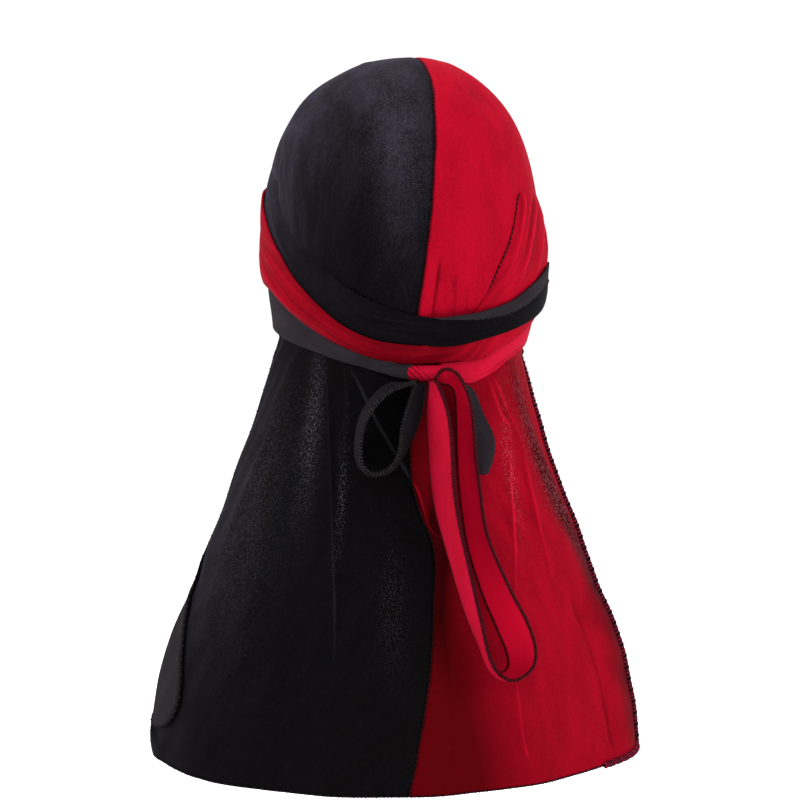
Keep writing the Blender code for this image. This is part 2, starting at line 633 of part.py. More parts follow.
def build():
    for old in list(bpy.data.objects):
        bpy.data.objects.remove(old, do_unlink=True)
    black = material("black_velvet", BLACK_VELVET, 0.75)
    red = material("red_velvet", RED_VELVET, 0.7)
    black_back = material("black_backing", BLACK_BACKING, 0.9)
    red_back = material("red_backing", RED_BACKING, 0.85)
    panel("panel_left", 1, black)
    panel("panel_right", -1, red)
    strap(BANDS[0], "strap_right", red)
    strap(BANDS[1], "strap_left", black)
    knot("knot", red_back)
    bow_loop("black_loop", BLACK_LOOP, BLACK_LOOP_SPREAD, BLACK_LOOP_LENGTH, 1, black)
    bow_loop("red_loop", RED_LOOP, RED_LOOP_SPREAD, RED_LOOP_LENGTH, -1, red)
    free_end("black_end", black_back)


build()
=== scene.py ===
import math
import bpy
import numpy as np
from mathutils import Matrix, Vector


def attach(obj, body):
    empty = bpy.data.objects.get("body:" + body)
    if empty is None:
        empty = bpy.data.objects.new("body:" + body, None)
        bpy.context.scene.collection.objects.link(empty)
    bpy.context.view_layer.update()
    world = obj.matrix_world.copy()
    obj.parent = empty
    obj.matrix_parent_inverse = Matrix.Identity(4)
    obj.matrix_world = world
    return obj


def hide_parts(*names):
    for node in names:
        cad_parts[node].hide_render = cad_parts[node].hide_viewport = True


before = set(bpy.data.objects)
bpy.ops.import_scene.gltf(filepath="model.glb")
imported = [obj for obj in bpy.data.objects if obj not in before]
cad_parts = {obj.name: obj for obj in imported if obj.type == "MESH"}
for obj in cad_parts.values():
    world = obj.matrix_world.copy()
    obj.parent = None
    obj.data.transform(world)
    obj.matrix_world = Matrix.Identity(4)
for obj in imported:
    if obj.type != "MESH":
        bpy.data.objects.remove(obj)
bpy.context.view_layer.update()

# Studio. The durag is seen from behind and a little from its left, in front of a plain white
# ground. Soft boxes at the left, at the right, above and near the camera give the pile its sheen,
# and the floor is a wide pale sheet well below the hem.
azimuth, elevation, distance = math.radians(171), math.radians(5), 1.7
photo_width, photo_pixel = 800, 0.000575
left_of_origin, below_origin = 3, 150
towards = Vector((math.sin(azimuth) * math.cos(elevation),
                  -math.cos(azimuth) * math.cos(elevation), math.sin(elevation)))
right = Vector((math.cos(azimuth), math.sin(azimuth), 0))
up = towards.cross(right)
lens = bpy.data.cameras.new("camera")
lens.sensor_width = 36
lens.lens = lens.sensor_width * distance / (photo_width * photo_pixel)
lens.clip_start, lens.clip_end = 0.05, 60
camera = bpy.data.objects.new("camera", lens)
camera.location = (towards * distance - right * left_of_origin * photo_pixel
                   - up * below_origin * photo_pixel)
camera.rotation_mode = "QUATERNION"
camera.rotation_quaternion = towards.to_track_quat("Z", "Y")
bpy.context.collection.objects.link(camera)
bpy.context.scene.camera = camera
durag_middle = Vector((0, 0.03, -0.08))
for name, place, size, power in (("softbox_left", (-1.6, 0.9, 0.5), 0.9, 34),
                                 ("softbox_right", (1.5, 0.5, 0.9), 0.8, 26),
                                 ("softbox_above", (-0.3, 1.9, -0.2), 1.1, 42),
                                 ("softbox_front", (-0.3, 0.6, 2.1), 0.8, 16)):
    lamp = bpy.data.lights.new(name, "AREA")
    lamp.shape = "SQUARE"
    lamp.size = size
    lamp.energy = power
    holder = bpy.data.objects.new(name, lamp)
    holder.location = right * place[0] + up * place[1] + towards * place[2]
    holder.rotation_mode = "QUATERNION"
    aim = holder.location - durag_middle
    holder.rotation_quaternion = aim.to_track_quat("Z", "Y")
    bpy.context.collection.objects.link(holder)
sky = bpy.data.worlds.new("white_ground")
sky.use_nodes = True
ground = sky.node_tree.nodes["Background"].inputs
ground["Color"].default_value = (1, 1, 1, 1)
ground["Strength"].default_value = 1.08
bpy.context.scene.world = sky
bpy.context.scene.view_settings.view_transform = "Standard"
floor_level = -0.40
bpy.ops.object.select_all(action="DESELECT")
bpy.ops.mesh.primitive_circle_add(vertices=96, radius=20, fill_type="NGON", location=(0, 0, 0))
floor = bpy.context.object
floor.name = "floor"
for corner in floor.data.vertices:
    corner.co.z = floor_level
pale = bpy.data.materials.new("pale_floor")
pale.use_nodes = True
paint = pale.node_tree.nodes["Principled BSDF"].inputs
paint["Base Color"].default_value = (0.96, 0.96, 0.96, 1)
paint["Roughness"].default_value = 0.9
floor.data.materials.append(pale)

# Left half of the cap and of the tail. The real piece is one length of black stretch velvet from
# the brow over the crown to the hem, stretched smooth above, pressed in under the straps and
# hanging free below the nape in pleats. Its side edge has rolled over and shows the wrong side.
cloth = 0.0015
cap_half, cap_back, cap_front, crown = 0.0760, 0.0985, 0.0965, 0.1065
nape_drop, nape_half, nape_back = 0.060, 0.0708, 0.078
tail_drop, hem_half, hem_back, tail_edge = 0.236, 0.141, 0.104, 0.012
hem_rise, hem_tilt, corner_rise, corner_share = 0.013, 0.001, 0.010, 0.07
brow_angle, brow_reach, tail_sway, crown_sway = 49, 0.090, 0.0066, 0.0026
# How square the crown and each level are, where 2 makes an ellipse
crown_power, dome_power, level_power, front_taper = 2.6, 2.35, 2.15, 0.10
# Levels down the cap and the tail: drop, then shares of the way to the next size
cap_sections = [(-0.30, 0.00, 0.00, 0.00, -0.10), (0.00, 0.00, 0.00, 0.00, -0.10),
                (0.33, 0.20, 0.18, 0.15, 0.00), (0.67, 0.78, 0.60, 0.50, 0.35),
                (1.00, 1.00, 1.00, 0.90, 0.80)]
tail_sections = [(1.00, 0.00, 0.00), (1.12, 0.11, 0.00), (1.24, 0.25, 0.08), (1.50, 0.58, 0.46),
                 (1.73, 0.88, 0.76), (1.88, 0.98, 0.90), (2.00, 1.00, 1.00)]
side_edge = [(0.00, 1.00), (0.31, 0.69), (0.66, 0.38), (1.00, 0.12)]
seam_line = [(0.00, 0.000), (0.30, -0.026), (0.50, -0.030), (0.65, -0.008), (0.80, 0.015),
             (1.00, 0.026), (1.14, 0.022), (1.27, 0.014), (1.34, -0.022), (1.42, -0.080),
             (1.55, -0.074), (1.70, -0.050), (1.85, -0.006), (2.00, 0.044)]


def smooth(place, rows, column):
    """Value of a table's column at each place in its first column, on a smooth curve."""
    knots = np.array([row[0] for row in rows], float)
    values = np.array([row[column] for row in rows], float)
    slopes = np.gradient(values, knots)
    place = np.clip(place, knots[0], knots[-1])
    i = np.clip(np.searchsorted(knots, place, side="right") - 1, 0, len(knots) - 2)
    width = knots[i + 1] - knots[i]
    t = (place - knots[i]) / width
    return ((2*t**3 - 3*t**2 + 1) * values[i] + (t**3 - 2*t**2 + t) * width * slopes[i]
            + (3*t**2 - 2*t**3) * values[i + 1] + (t**3 - t**2) * width * slopes[i + 1])


def ease(t):
    t = np.clip(t, 0, 1)
    return t * t * (3 - 2*t)


def section(level):
    """Half width, back, front, side edge and sway of the cloth's outside at each level."""
    width, back, top = cap_half + cloth, cap_back + cloth, crown + cloth
    above = np.clip(level, 0, None) / top
    dome = np.clip(1 - above**crown_power, 1e-9, 1)**(1 / dome_power)
    drop = np.where(level > -nape_drop, -level / nape_drop, 1 + (-level - nape_drop) / tail_drop)
    on_cap, at_nape = drop < 1, cap_sections[-1]
    upper, lower = np.clip(drop, cap_sections[0][0], 1), np.clip(drop, 1, 2)
    half = np.where(on_cap, width + (nape_half - width) * smooth(upper, cap_sections, 1),
                    nape_half + (hem_half - nape_half) * smooth(lower, tail_sections, 1))
    rear = np.where(on_cap, back + (nape_back - back) * smooth(upper, cap_sections, 2),
                    nape_back + (hem_back - nape_back) * smooth(lower, tail_sections, 2))
    below = ease((drop - 1) / 0.2)
    side = tail_edge * np.where(on_cap, smooth(upper, cap_sections, 3),
                                at_nape[3] + (1 - at_nape[3]) * below)
    sway = tail_sway * np.where(on_cap, smooth(upper, cap_sections, 4),
                                at_nape[4] + (1 - at_nape[4]) * below)
    sway = sway + crown_sway * 4 * np.clip(above, 0, 1) * np.clip(1 - above, 0, 1)
    front = (cap_front + cloth) * half / width
    return half * dome, rear * dome, front * dome, side, sway


def meet_cloth(start, way):
    """Where rays from inside the cap or the tail reach the plain cloth, found by halving."""
    near = np.zeros(way.shape[:-1])
    far = np.full(way.shape[:-1], 2.5 * crown)
    for _ in range(26):
        middle = (near + far) / 2
        point = start + way * middle[..., None]
        half, rear, front, side, sway = section(point[..., 2])
        along = point[..., 1] - side
        reach = np.where(along > 0, np.maximum(rear - side, 1e-4), front)
        half = half * (1 - front_taper * np.clip(-along / front, 0, 1))
        out = ((np.abs(point[..., 0] - sway) / half)**level_power
               + (np.abs(along) / reach)**level_power) > 1
        near = np.where(out, near, middle)
        far = np.where(out, middle, far)
    return start + way * near[..., None]


def cloth_point(run, across):
    """Plain cloth: run is 0 at the brow, 1 at the nape and 2 at the hem, across is -1 at the red
    side edge and 1 at the black one."""
    angle = across * np.pi / 2
    turn = np.radians(brow_angle + (180 - brow_angle) * np.clip(run, 0, 1))
    corner = np.clip((np.abs(across) - 1 + corner_share) / corner_share, 0, 1)
    rise = hem_rise * across**2 - hem_tilt * across + corner_rise * (1 - np.sqrt(1 - corner**2))
    low = -nape_drop - np.clip(run - 1, 0, 1) * (tail_drop - rise)
    side, sway = section(low)[3:]
    on_cap = run < 1
    reach = np.where(on_cap, brow_reach * smooth(run, side_edge, 1), side)
    lead = np.where(on_cap, sway * ease((run - 0.6) / 0.4), sway)
    back, high = -np.cos(turn), np.sin(turn)
    start = np.stack([lead, reach * back, low + reach * high], -1)
    way = np.stack([np.sin(angle), np.cos(angle) * back, np.cos(angle) * high], -1)
    return meet_cloth(start, way)


# Paths of the straps, which the cap needs too because it is pressed flat under them: the turn
# round the cap from its middle at the back, the level as a share of the crown's height or the
# nape's drop, and the width as a share of the whole strap's
strap_width = 0.080
red_path = [(-120, 0.13, 0.62), (-105, 0.09, 0.82), (-90, 0.05, 0.98), (-75, 0.04, 0.98),
            (-60, 0.03, 0.98), (-50, -0.02, 1.02), (-42, -0.07, 1.05), (-36, -0.13, 1.04),
            (-30, -0.32, 0.82), (-24, -0.50, 0.66), (-18, -0.70, 0.38), (-12, -0.825, 0.19),
            (-6, -0.874, 0.140), (0, -0.885, 0.136), (10, -0.870, 0.140), (20, -0.825, 0.140),
            (30, -0.725, 0.162), (40, -0.58, 0.22), (50, -0.43, 0.26), (65, -0.19, 0.32),
            (90, 0.065, 0.50), (120, 0.19, 0.42), (150, 0.34, 0.32), (180, 0.47, 0.27),
            (210, 0.33, 0.27), (240, -0.08, 0.27), (270, -0.61, 0.26), (300, -0.72, 0.25),
            (315, -0.835, 0.205), (326, -0.94, 0.21), (336, -1.03, 0.195), (345, -1.066, 0.235),
            (350, -1.066, 0.22)]
black_path = [(-120, 0.26, 0.74), (-105, 0.25, 0.85), (-90, 0.22, 0.95), (-75, 0.17, 0.85),
              (-60, 0.02, 0.58), (-45, -0.20, 0.39), (-30, -0.455, 0.305), (-15, -0.620, 0.254),
              (0, -0.676, 0.195), (10, -0.658, 0.205), (20, -0.610, 0.21), (30, -0.55, 0.225),
              (42, -0.45, 0.27), (55, -0.36, 0.295), (70, -0.30, 0.30), (90, -0.30, 0.25),
              (120, -0.10, 0.27), (150, 0.09, 0.27), (180, 0.24, 0.27), (210, 0.07, 0.32),
              (240, -0.20, 0.37), (270, -0.43, 0.42), (290, -0.56, 0.34), (305, -0.675, 0.26),
              (317, -0.78, 0.19), (326, -0.86, 0.165), (334, -0.920, 0.15), (342, -0.985, 0.140),
              (350, -1.045, 0.140)]
paths = {1: red_path, -1: black_path}
passes = dict(start=(-120, 0), main=(0, 180), finish=(180, 350))
lie_gap = 0.0007


def strap_edges(hand, turn):
    """Middle level and half width of a strap. hand is 1 for the red strap and -1 for the black."""
    share = smooth(turn, paths[hand], 1)
    middle = np.where(share > 0, share * crown, share * nape_drop)
    return middle, strap_width / 2 * smooth(turn, paths[hand], 2)


def covers(hand, part, angle, level, ramp=0.018, margin=0.004):
    """1 where a pass of a strap covers a place, falling to 0 over a ramp beside it."""
    turn = (hand * angle + 180) % 360 - 180
    if part == "finish":
        turn = np.where(turn < 90, turn + 360, turn)
    first, last = passes[part]
    beyond = np.radians(np.clip(first - turn, 0, None) + np.clip(turn - last, 0, None)) * cap_half
    middle, half = strap_edges(hand, np.clip(turn, first, last))
    beside = np.clip(np.abs(level - middle) - half, 0, None)
    return np.clip(1 - (np.hypot(beside, beyond) - margin) / ramp, 0, 1)


def crease(u, v, scales, line, spread_over, spread_under, fade=0.2, crest=0.0007):
    """1 on a curve drawn on the cloth, with a sharp crest and long slopes. The spreads say over
    how many millimetres it falls away on each side. It runs out over the share fade at each end."""
    nearest = np.full(u.shape, 9.0)
    aside, along = np.zeros(u.shape), np.zeros(u.shape)
    table = [(i, *point) for i, point in enumerate(line)]
    fine = np.linspace(0, len(line) - 1, 4 * len(line) - 3)
    curve = list(zip(smooth(fine, table, 1), smooth(fine, table, 2)))
    pairs = list(zip(curve, curve[1:]))
    lengths = [math.hypot((b[0] - a[0]) * np.mean(scales[0]), (b[1] - a[1]) * np.mean(scales[1]))
               for a, b in pairs]
    for k, (a, b) in enumerate(pairs):
        du, dv = (b[0] - a[0]) * scales[0], (b[1] - a[1]) * scales[1]
        pu, pv = (u - a[0]) * scales[0], (v - a[1]) * scales[1]
        t = np.clip((pu * du + pv * dv) / (du * du + dv * dv), 0, 1)
        apart = np.hypot(pu - t * du, pv - t * dv)
        closer = apart < nearest
        nearest = np.where(closer, apart, nearest)
        aside = np.where(closer, apart * np.sign(du * pv - dv * pu), aside)
        along = np.where(closer, (sum(lengths[:k]) + t * lengths[k]) / sum(lengths), along)
    spread = np.where(aside > 0, spread_over, spread_under) / 1000
    fall = np.exp(-(np.hypot(aside, crest) - crest) / spread)
    return ease(np.minimum(along, 1 - along) / fade) * fall


def ridges(height, full=0.0004):
    """Where cloth stands up in a crest, 1, or lies in a crease, -1, found from its own height.
    Painted highlight and shade are set from it.
    """
    soft = height
    for _ in range(4):
        wide = np.pad(soft, 1, "edge")
        soft = (wide[2:, 1:-1] + wide[:-2, 1:-1] + wide[1:-1, 2:] + wide[1:-1, :-2] + 2*soft) / 6
    return np.clip((height - soft) / full, -1, 1)


def travelled(points, axis=0):
    """How far each point of a row or a grid is from the first one, from point to point."""
    steps = np.diff(points, axis=axis, prepend=np.take(points, [0], axis))
    return np.cumsum(np.linalg.norm(steps, axis=-1), axis)


# Folds of the cap and tail: the line in (run, across), the rise in millimetres, and the spread in
# millimetres towards the black and the red side. A short spread makes a sharp lap there.
folds = [([(0.98, 0.375), (1.049, 0.288), (1.126, 0.205), (1.177, 0.140), (1.242, 0.055),
           (1.294, -0.013), (1.340, -0.042), (1.387, -0.070), (1.440, -0.192), (1.50, -0.225),
           (1.57, -0.240)], 3.0, 1.0, 13),
         ([(0.90, 0.500), (1.009, 0.468), (1.272, 0.405), (1.456, 0.365), (1.594, 0.340),
           (1.754, 0.333)], 1.6, 7, 1.6),
         ([(0.96, 0.390), (1.038, 0.361), (1.120, 0.335)], 0.9, 1.4, 3),
         ([(1.04, 0.350), (1.225, 0.346), (1.421, 0.333)], 0.9, 4, 6),
         ([(1.32, 0.300), (1.408, 0.235), (1.545, 0.120), (1.661, 0.036)], 1.3, 8, 9),
         ([(1.50, 0.300), (1.75, 0.200), (1.95, 0.150)], 1.2, 9, 10),
         ([(1.20, 0.720), (1.50, 0.660), (1.80, 0.640)], 1.6, 10, 10),
         ([(1.05, 0.700), (1.30, 0.800), (1.55, 0.850)], 1.2, 8, 8),
         ([(0.68, 0.190), (0.735, 0.168), (0.839, 0.071), (0.90, 0.05)], 0.45, 1.4, 2.2),
         ([(0.29, 0.47), (0.507, 0.591), (0.62, 0.675)], 0.6, 1.6, 3),
         ([(0.36, 0.52), (0.46, 0.66), (0.54, 0.76)], 0.6, 1.6, 3),
         ([(0.40, 0.10), (0.55, 0.06), (0.72, 0.07)], 0.6, 5, 6),
         ([(0.25, 0.16), (0.40, 0.10), (0.52, 0.04)], 0.6, 3, 5),
         ([(0.98, -0.340), (1.04, -0.400), (1.131, -0.480), (1.171, -0.523), (1.315, -0.485),
           (1.56, -0.420)], 1.9, 6, 3),
         ([(0.98, -0.370), (1.05, -0.450), (1.126, -0.536), (1.192, -0.597), (1.322, -0.594),
           (1.50, -0.594)], 1.7, 2.5, 7),
         ([(1.20, -0.515), (1.315, -0.485), (1.45, -0.449), (1.60, -0.410)], 0.6, 0.9, 1.1),
         ([(1.22, -0.596), (1.35, -0.594), (1.50, -0.600), (1.58, -0.612)], 0.6, 0.9, 1.1),
         ([(1.66, -0.375), (1.746, -0.379), (1.877, -0.388), (1.97, -0.410)], 1.6, 3, 9),
         ([(1.55, -0.670), (1.692, -0.698), (2.02, -0.735)], -2.4, 11, 11),
         ([(0.735, -0.050), (0.780, -0.050), (0.840, -0.052), (0.90, -0.058), (1.10, -0.065)],
          -2.2, 2.2, 6),
         ([(0.76, -0.112), (0.806, -0.125), (0.875, -0.155), (1.05, -0.190)], -1.0, 6, 3.5),
         ([(0.77, -0.172), (0.836, -0.200), (0.874, -0.213), (1.05, -0.250)], -0.8, 5, 4),
         ([(1.05, -0.16), (1.30, -0.25), (1.46, -0.27)], 1.2, 8, 8),
         ([(1.50, -0.10), (1.75, -0.13), (2.02, -0.10)], -1.6, 11, 11),
         ([(0.30, -0.10), (0.42, -0.20), (0.50, -0.32)], 0.5, 3, 6),
         ([(0.38, -0.08), (0.50, -0.16), (0.60, -0.24)], 0.4, 3, 5)]
panel_runs = np.concatenate([np.linspace(0, 1, 111)[:-1], np.linspace(1, 2, 131)])
panel_shares = np.linspace(0, 1, 161)
nape_row = 100
pleat_height, ripple_height, crown_ridge = 0.0016, 0.00022, 0.0022
pressed_height, free_height = 0.0002, 0.0045
seam_depth, seam_groove, pucker_height, pucker_reach = 0.0009, 0.0012, 0.00011, 0.006


def panel_cloth(side, free=0.0):
    """Half of the cap and tail: rows from the brow to the hem, columns from the seam to the side
    edge, which is cut back by the share free on the tail."""
    seam = smooth(panel_runs, seam_line, 1)
    wander = 0.0009 * np.sin(61 * panel_runs) + 0.0006 * np.sin(143 * panel_runs + 1)
    first = seam + wander * ease(panel_runs / 0.05)
    last = side * (1 - free * ease((panel_runs - 0.98) / 0.15))
    across = first[:, None] + (last - first)[:, None] * panel_shares[None, :]
    run = np.repeat(panel_runs[:, None], len(panel_shares), axis=1)
    plain = cloth_point(run, across)
    down, over = np.gradient(plain, axis=0), np.gradient(plain, axis=1)
    out = np.cross(down, over)
    out /= np.linalg.norm(out, axis=-1, keepdims=True)
    out *= np.sign(np.sum(out[nape_row] * plain[nape_row], -1).mean())
    length, breadth = travelled(plain, 0), travelled(plain, 1)
    scales = (np.linalg.norm(down, axis=-1) / np.gradient(panel_runs)[:, None],
              np.linalg.norm(over, axis=-1) / np.abs(np.gradient(across, axis=1)))
    height = np.zeros(run.shape)
    for line, rise, to_black, to_red in folds:
        height += 0.001 * rise * crease(run, across, scales, line, to_black, to_red)
    height += pleat_height * np.cos(np.pi * 5.4 * (across + 0.059)) * ease((run - 1.35) / 0.6)
    ripples = (np.sin(97*length + 41*breadth * side + 1.3)
               + np.sin(118*breadth * side - 63*length)
               + 0.7 * np.sin(190*length - 97*breadth * side))
    height += ripple_height * ease(run / 0.1) * ripples
    peak = ease(run / 0.2) * ease((0.75 - run) / 0.3)
    height += crown_ridge * peak * np.exp(-((across - seam[:, None]) / 0.10)**2)
    angle = np.degrees(np.arctan2(plain[..., 0], plain[..., 1]))
    pressed = np.zeros(run.shape)
    for hand in (1, -1):
        for part in passes:
            pressed = np.maximum(pressed, covers(hand, part, angle, plain[..., 2], 0.006, 0.0005))
    # Painted highlight on the folds' crests and painted shade in their creases and along the seam
    painted_highlight_and_shade = ridges(height) - np.exp(-(breadth / 0.0010)**2)
    height = np.minimum(height, pressed_height + free_height * (1 - pressed))
    # The seam is sunk and puckers a little
    height -= seam_depth * np.exp(-(breadth / seam_groove)**2)
    pucker = np.sin(length * 640 + 5*np.sin(length * 47)) * np.sin(length * 31 + 2)
    height += pucker_height * pucker * np.exp(-breadth / pucker_reach)
    place = plain + out * height[..., None]
    return run, across, place, out, length, breadth, painted_highlight_and_shade


class Finish:
    """Procedural finish of a cloth, put together node by node on the cloth's own chart."""

    def __init__(self, name):
        self.material = bpy.data.materials.new(name)
        self.material.use_nodes = True
        self.nodes, self.links = self.material.node_tree.nodes, self.material.node_tree.links
        self.shader = self.nodes["Principled BSDF"]
        self.chart = self.nodes.new("ShaderNodeTexCoord").outputs["UV"]

    def put(self, value, socket):
        """Link an output, or set a constant."""
        if isinstance(value, bpy.types.NodeSocket):
            self.links.new(value, socket)
        elif isinstance(value, tuple):
            socket.default_value = (*value, 1)[:len(socket.default_value)]
        else:
            socket.default_value = value

    def noise(self, scale, stretch=(1, 1, 1), detail=2):
        mapping = self.nodes.new("ShaderNodeMapping")
        mapping.inputs["Scale"].default_value = stretch
        self.put(self.chart, mapping.inputs["Vector"])
        noise = self.nodes.new("ShaderNodeTexNoise")
        noise.inputs["Scale"].default_value = scale
        noise.inputs["Detail"].default_value = detail
        self.put(mapping.outputs["Vector"], noise.inputs["Vector"])
        return noise.outputs["Fac"]

    def speckle(self, scale):
        """Small dots scattered at random."""
        cells = self.nodes.new("ShaderNodeTexVoronoi")
        cells.inputs["Scale"].default_value = scale
        self.put(self.chart, cells.inputs["Vector"])
        return self.between(cells.outputs["Distance"], 0.31, 0.13)

    def ribs(self, direction, scale, distortion):
        wave = self.nodes.new("ShaderNodeTexWave")
        wave.bands_direction = direction
        wave.inputs["Scale"].default_value = scale
        wave.inputs["Distortion"].default_value = distortion
        wave.inputs["Detail Scale"].default_value = 3
        self.put(self.chart, wave.inputs["Vector"])
        return wave.outputs["Fac"]

    def mark(self, name):
        attribute = self.nodes.new("ShaderNodeAttribute")
        attribute.attribute_name = name
        return attribute.outputs["Fac"]

    def between(self, value, low, high):
        spread = self.nodes.new("ShaderNodeMapRange")
        spread.inputs["From Min"].default_value = low
        spread.inputs["From Max"].default_value = high
        self.put(value, spread.inputs["Value"])
        return spread.outputs["Result"]

    def math(self, kind, first, second, third=0.0):
        node = self.nodes.new("ShaderNodeMath")
        node.operation = kind
        for value, socket in zip((first, second, third), node.inputs):
            self.put(value, socket)
        return node.outputs["Value"]

    def blend(self, amount, first, second):
        mix = self.nodes.new("ShaderNodeMix")
        mix.data_type = "RGBA"
        colours = [socket for socket in mix.inputs if socket.type == "RGBA"]
        for value, socket in ((amount, mix.inputs["Factor"]), (first, colours[0]),
                              (second, colours[1])):
            self.put(value, socket)
        return [socket for socket in mix.outputs if socket.type == "RGBA"][0]

    def shade(self, colour, height, depth, **constants):
        """Colour and fine relief on the shader, with its constants on their own sockets."""
        self.put(colour, self.shader.inputs["Base Color"])
        bump = self.nodes.new("ShaderNodeBump")
        bump.inputs["Strength"].default_value = 0.6
        bump.inputs["Distance"].default_value = depth
        self.put(height, bump.inputs["Height"])
        self.put(bump.outputs["Normal"], self.shader.inputs["Normal"])
        for name, value in constants.items():
            self.put(value, self.shader.inputs[name.replace("_", " ")])
        return self.material


def velvet(name, painted_crease_shade, deep, bright, painted_ridge_highlight, speck, mottle, sheen, sheen_tint):
    """Stretch velvet: short pile that goes from its deep colour to its bright one with its random
    tone and with painted sheen and shade. Painted highlights lie on ridges and painted shade in
    creases. Its specks are painted glints, and where the pile is worn they are the knit showing
    through."""
    make = Finish(name)
    areas = make.between(make.noise(55, (0.7, 1.2, 1), 5), 0.38, 0.66)
    brush = make.between(make.noise(330, (0.8, 1.1, 1), 3), 0.40, 0.70)
    grain = make.between(make.noise(1300, (1, 1, 1), 1), 0.35, 0.75)
    painted_highlight_and_shade = make.mark("painted_highlight_and_shade")
    # However strong the mottle is, the pile varies round the same middle
    pile_tone_and_painted_light = make.math("MULTIPLY_ADD", areas, mottle, 0.725 - 0.92 * mottle)
    for texture, share in ((brush, 0.64 * mottle), (grain, 0.35)):
        pile_tone_and_painted_light = make.math("MULTIPLY_ADD", texture, share, pile_tone_and_painted_light)
    # The pile-tone mark scales it, and also carries painted sheen and painted shade
    pile_tone_and_painted_light = make.math("MULTIPLY", pile_tone_and_painted_light, make.mark("pile_tone_and_painted_light"))
    colour = make.blend(pile_tone_and_painted_light, deep, bright)
    # Painted highlight on ridges and painted shade in creases
    colour = make.blend(make.between(painted_highlight_and_shade, 0.20, 1.1), colour, painted_ridge_highlight)
    colour = make.blend(make.between(painted_highlight_and_shade, -0.08, -0.9), colour, painted_crease_shade)
    # Specks: painted glints, and the knit where the pile is worn
    specks = make.math("MULTIPLY", make.speckle(1250), make.mark("painted_glints_and_worn_knit"))
    colour = make.blend(specks, colour, speck)
    return make.shade(colour, make.noise(800, (0.7, 1.2, 1), 3), 0.0004, Roughness=0.7,
                      Specular_IOR_Level=0.01, Sheen_Weight=sheen, Sheen_Roughness=0.25,
                      Sheen_Tint=sheen_tint)


def wrong_side(name, dark, light, sheen):
    """Wrong side of the velvet: a smooth matte knit with fine ribs."""
    make = Finish(name)
    ribs = make.ribs("Y", 260, 1.5)
    soft = make.between(make.noise(70, (0.5, 1.4, 1), 4), 0.35, 0.70)
    both = make.math("MULTIPLY_ADD", ribs, 0.12, make.math("MULTIPLY", soft, 0.5))
    grain = make.between(make.noise(1500, (1, 1, 1), 1), 0.35, 0.70)
    both = make.math("MULTIPLY_ADD", grain, 0.35, both)
    colour = make.blend(both, dark, light)
    # Painted shade, as much as the shade mark says
    colour = make.blend(make.mark("shade"), colour, tuple(0.5 * part for part in dark))
    height = make.math("MULTIPLY_ADD", ribs, 0.5, make.noise(1400, (1, 1, 1), 1))
    return make.shade(colour, height, 0.0002, Roughness=0.85, Specular_IOR_Level=0.03,
                      Sheen_Weight=sheen, Sheen_Roughness=0.5, Sheen_Tint=light)


def thread(name, dark, light):
    """Sewing thread with a little twist and gloss."""
    make = Finish(name)
    make.chart = make.chart.node.outputs["Object"]
    fibre = make.noise(2600, (1, 1, 1), 2)
    return make.shade(make.blend(make.between(fibre, 0.40, 0.7), dark, light), fibre, 0.0002,
                      Roughness=0.6, Specular_IOR_Level=0.02)


def sheet_normals(place):
    normal = np.cross(np.gradient(place, axis=0), np.gradient(place, axis=1))
    return normal / np.linalg.norm(normal, axis=-1, keepdims=True)


def select_only(piece):
    bpy.ops.object.select_all(action="DESELECT")
    bpy.context.view_layer.objects.active = piece
    piece.select_set(True)


def cloth_mesh(name, points, faces, chart, marks, finishes):
    """Mesh with its flat chart and its marks, which have a row or a value for each point."""
    data = bpy.data.meshes.new(name)
    data.from_pydata(points, [], faces)
    corners = np.empty(len(data.loops), np.int32)
    data.loops.foreach_get("vertex_index", corners)
    layer = data.uv_layers.new(name="cloth")
    layer.data.foreach_set("uv", chart[corners].astype(np.float32).ravel())
    for mark, value in marks.items():
        attribute = data.attributes.new(mark, "FLOAT", "POINT")
        attribute.data.foreach_set("value", value.astype(np.float32).ravel())
    for finish in finishes:
        data.materials.append(finish)
    data.shade_smooth()
    piece = bpy.data.objects.new(name, data)
    bpy.context.collection.objects.link(piece)
    select_only(piece)
    return piece


def sew(name, place, chart, marks, finishes, thick, facing):
    """Cloth from a grid of points on its right side, with its thickness on the wrong side. facing
    is the way that the right side looks along the middle column."""
    rows, columns = place.shape[:2]
    index = np.arange(rows * columns).reshape(rows, columns)
    quads = np.stack([index[:-1, :-1], index[1:, :-1], index[1:, 1:], index[:-1, 1:]], -1)
    if np.sum(sheet_normals(place)[:, columns // 2] * facing) < 0:
        quads = quads[..., ::-1]
    flat = np.stack([np.broadcast_to(part, (rows, columns)) for part in chart], -1)
    marks = {mark: np.broadcast_to(value, (rows, columns)) for mark, value in marks.items()}
    piece = cloth_mesh(name, place.reshape(-1, 3).tolist(), quads.reshape(-1, 4).tolist(),
                       flat.reshape(-1, 2), marks, finishes)
    wall = piece.modifiers.new("wall", "SOLIDIFY")
    wall.thickness = thick
    wall.offset = -1
    wall.material_offset = 1
    wall.material_offset_rim = 1
    bpy.ops.object.modifier_apply(modifier="wall")
    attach(piece, "root")
    return piece


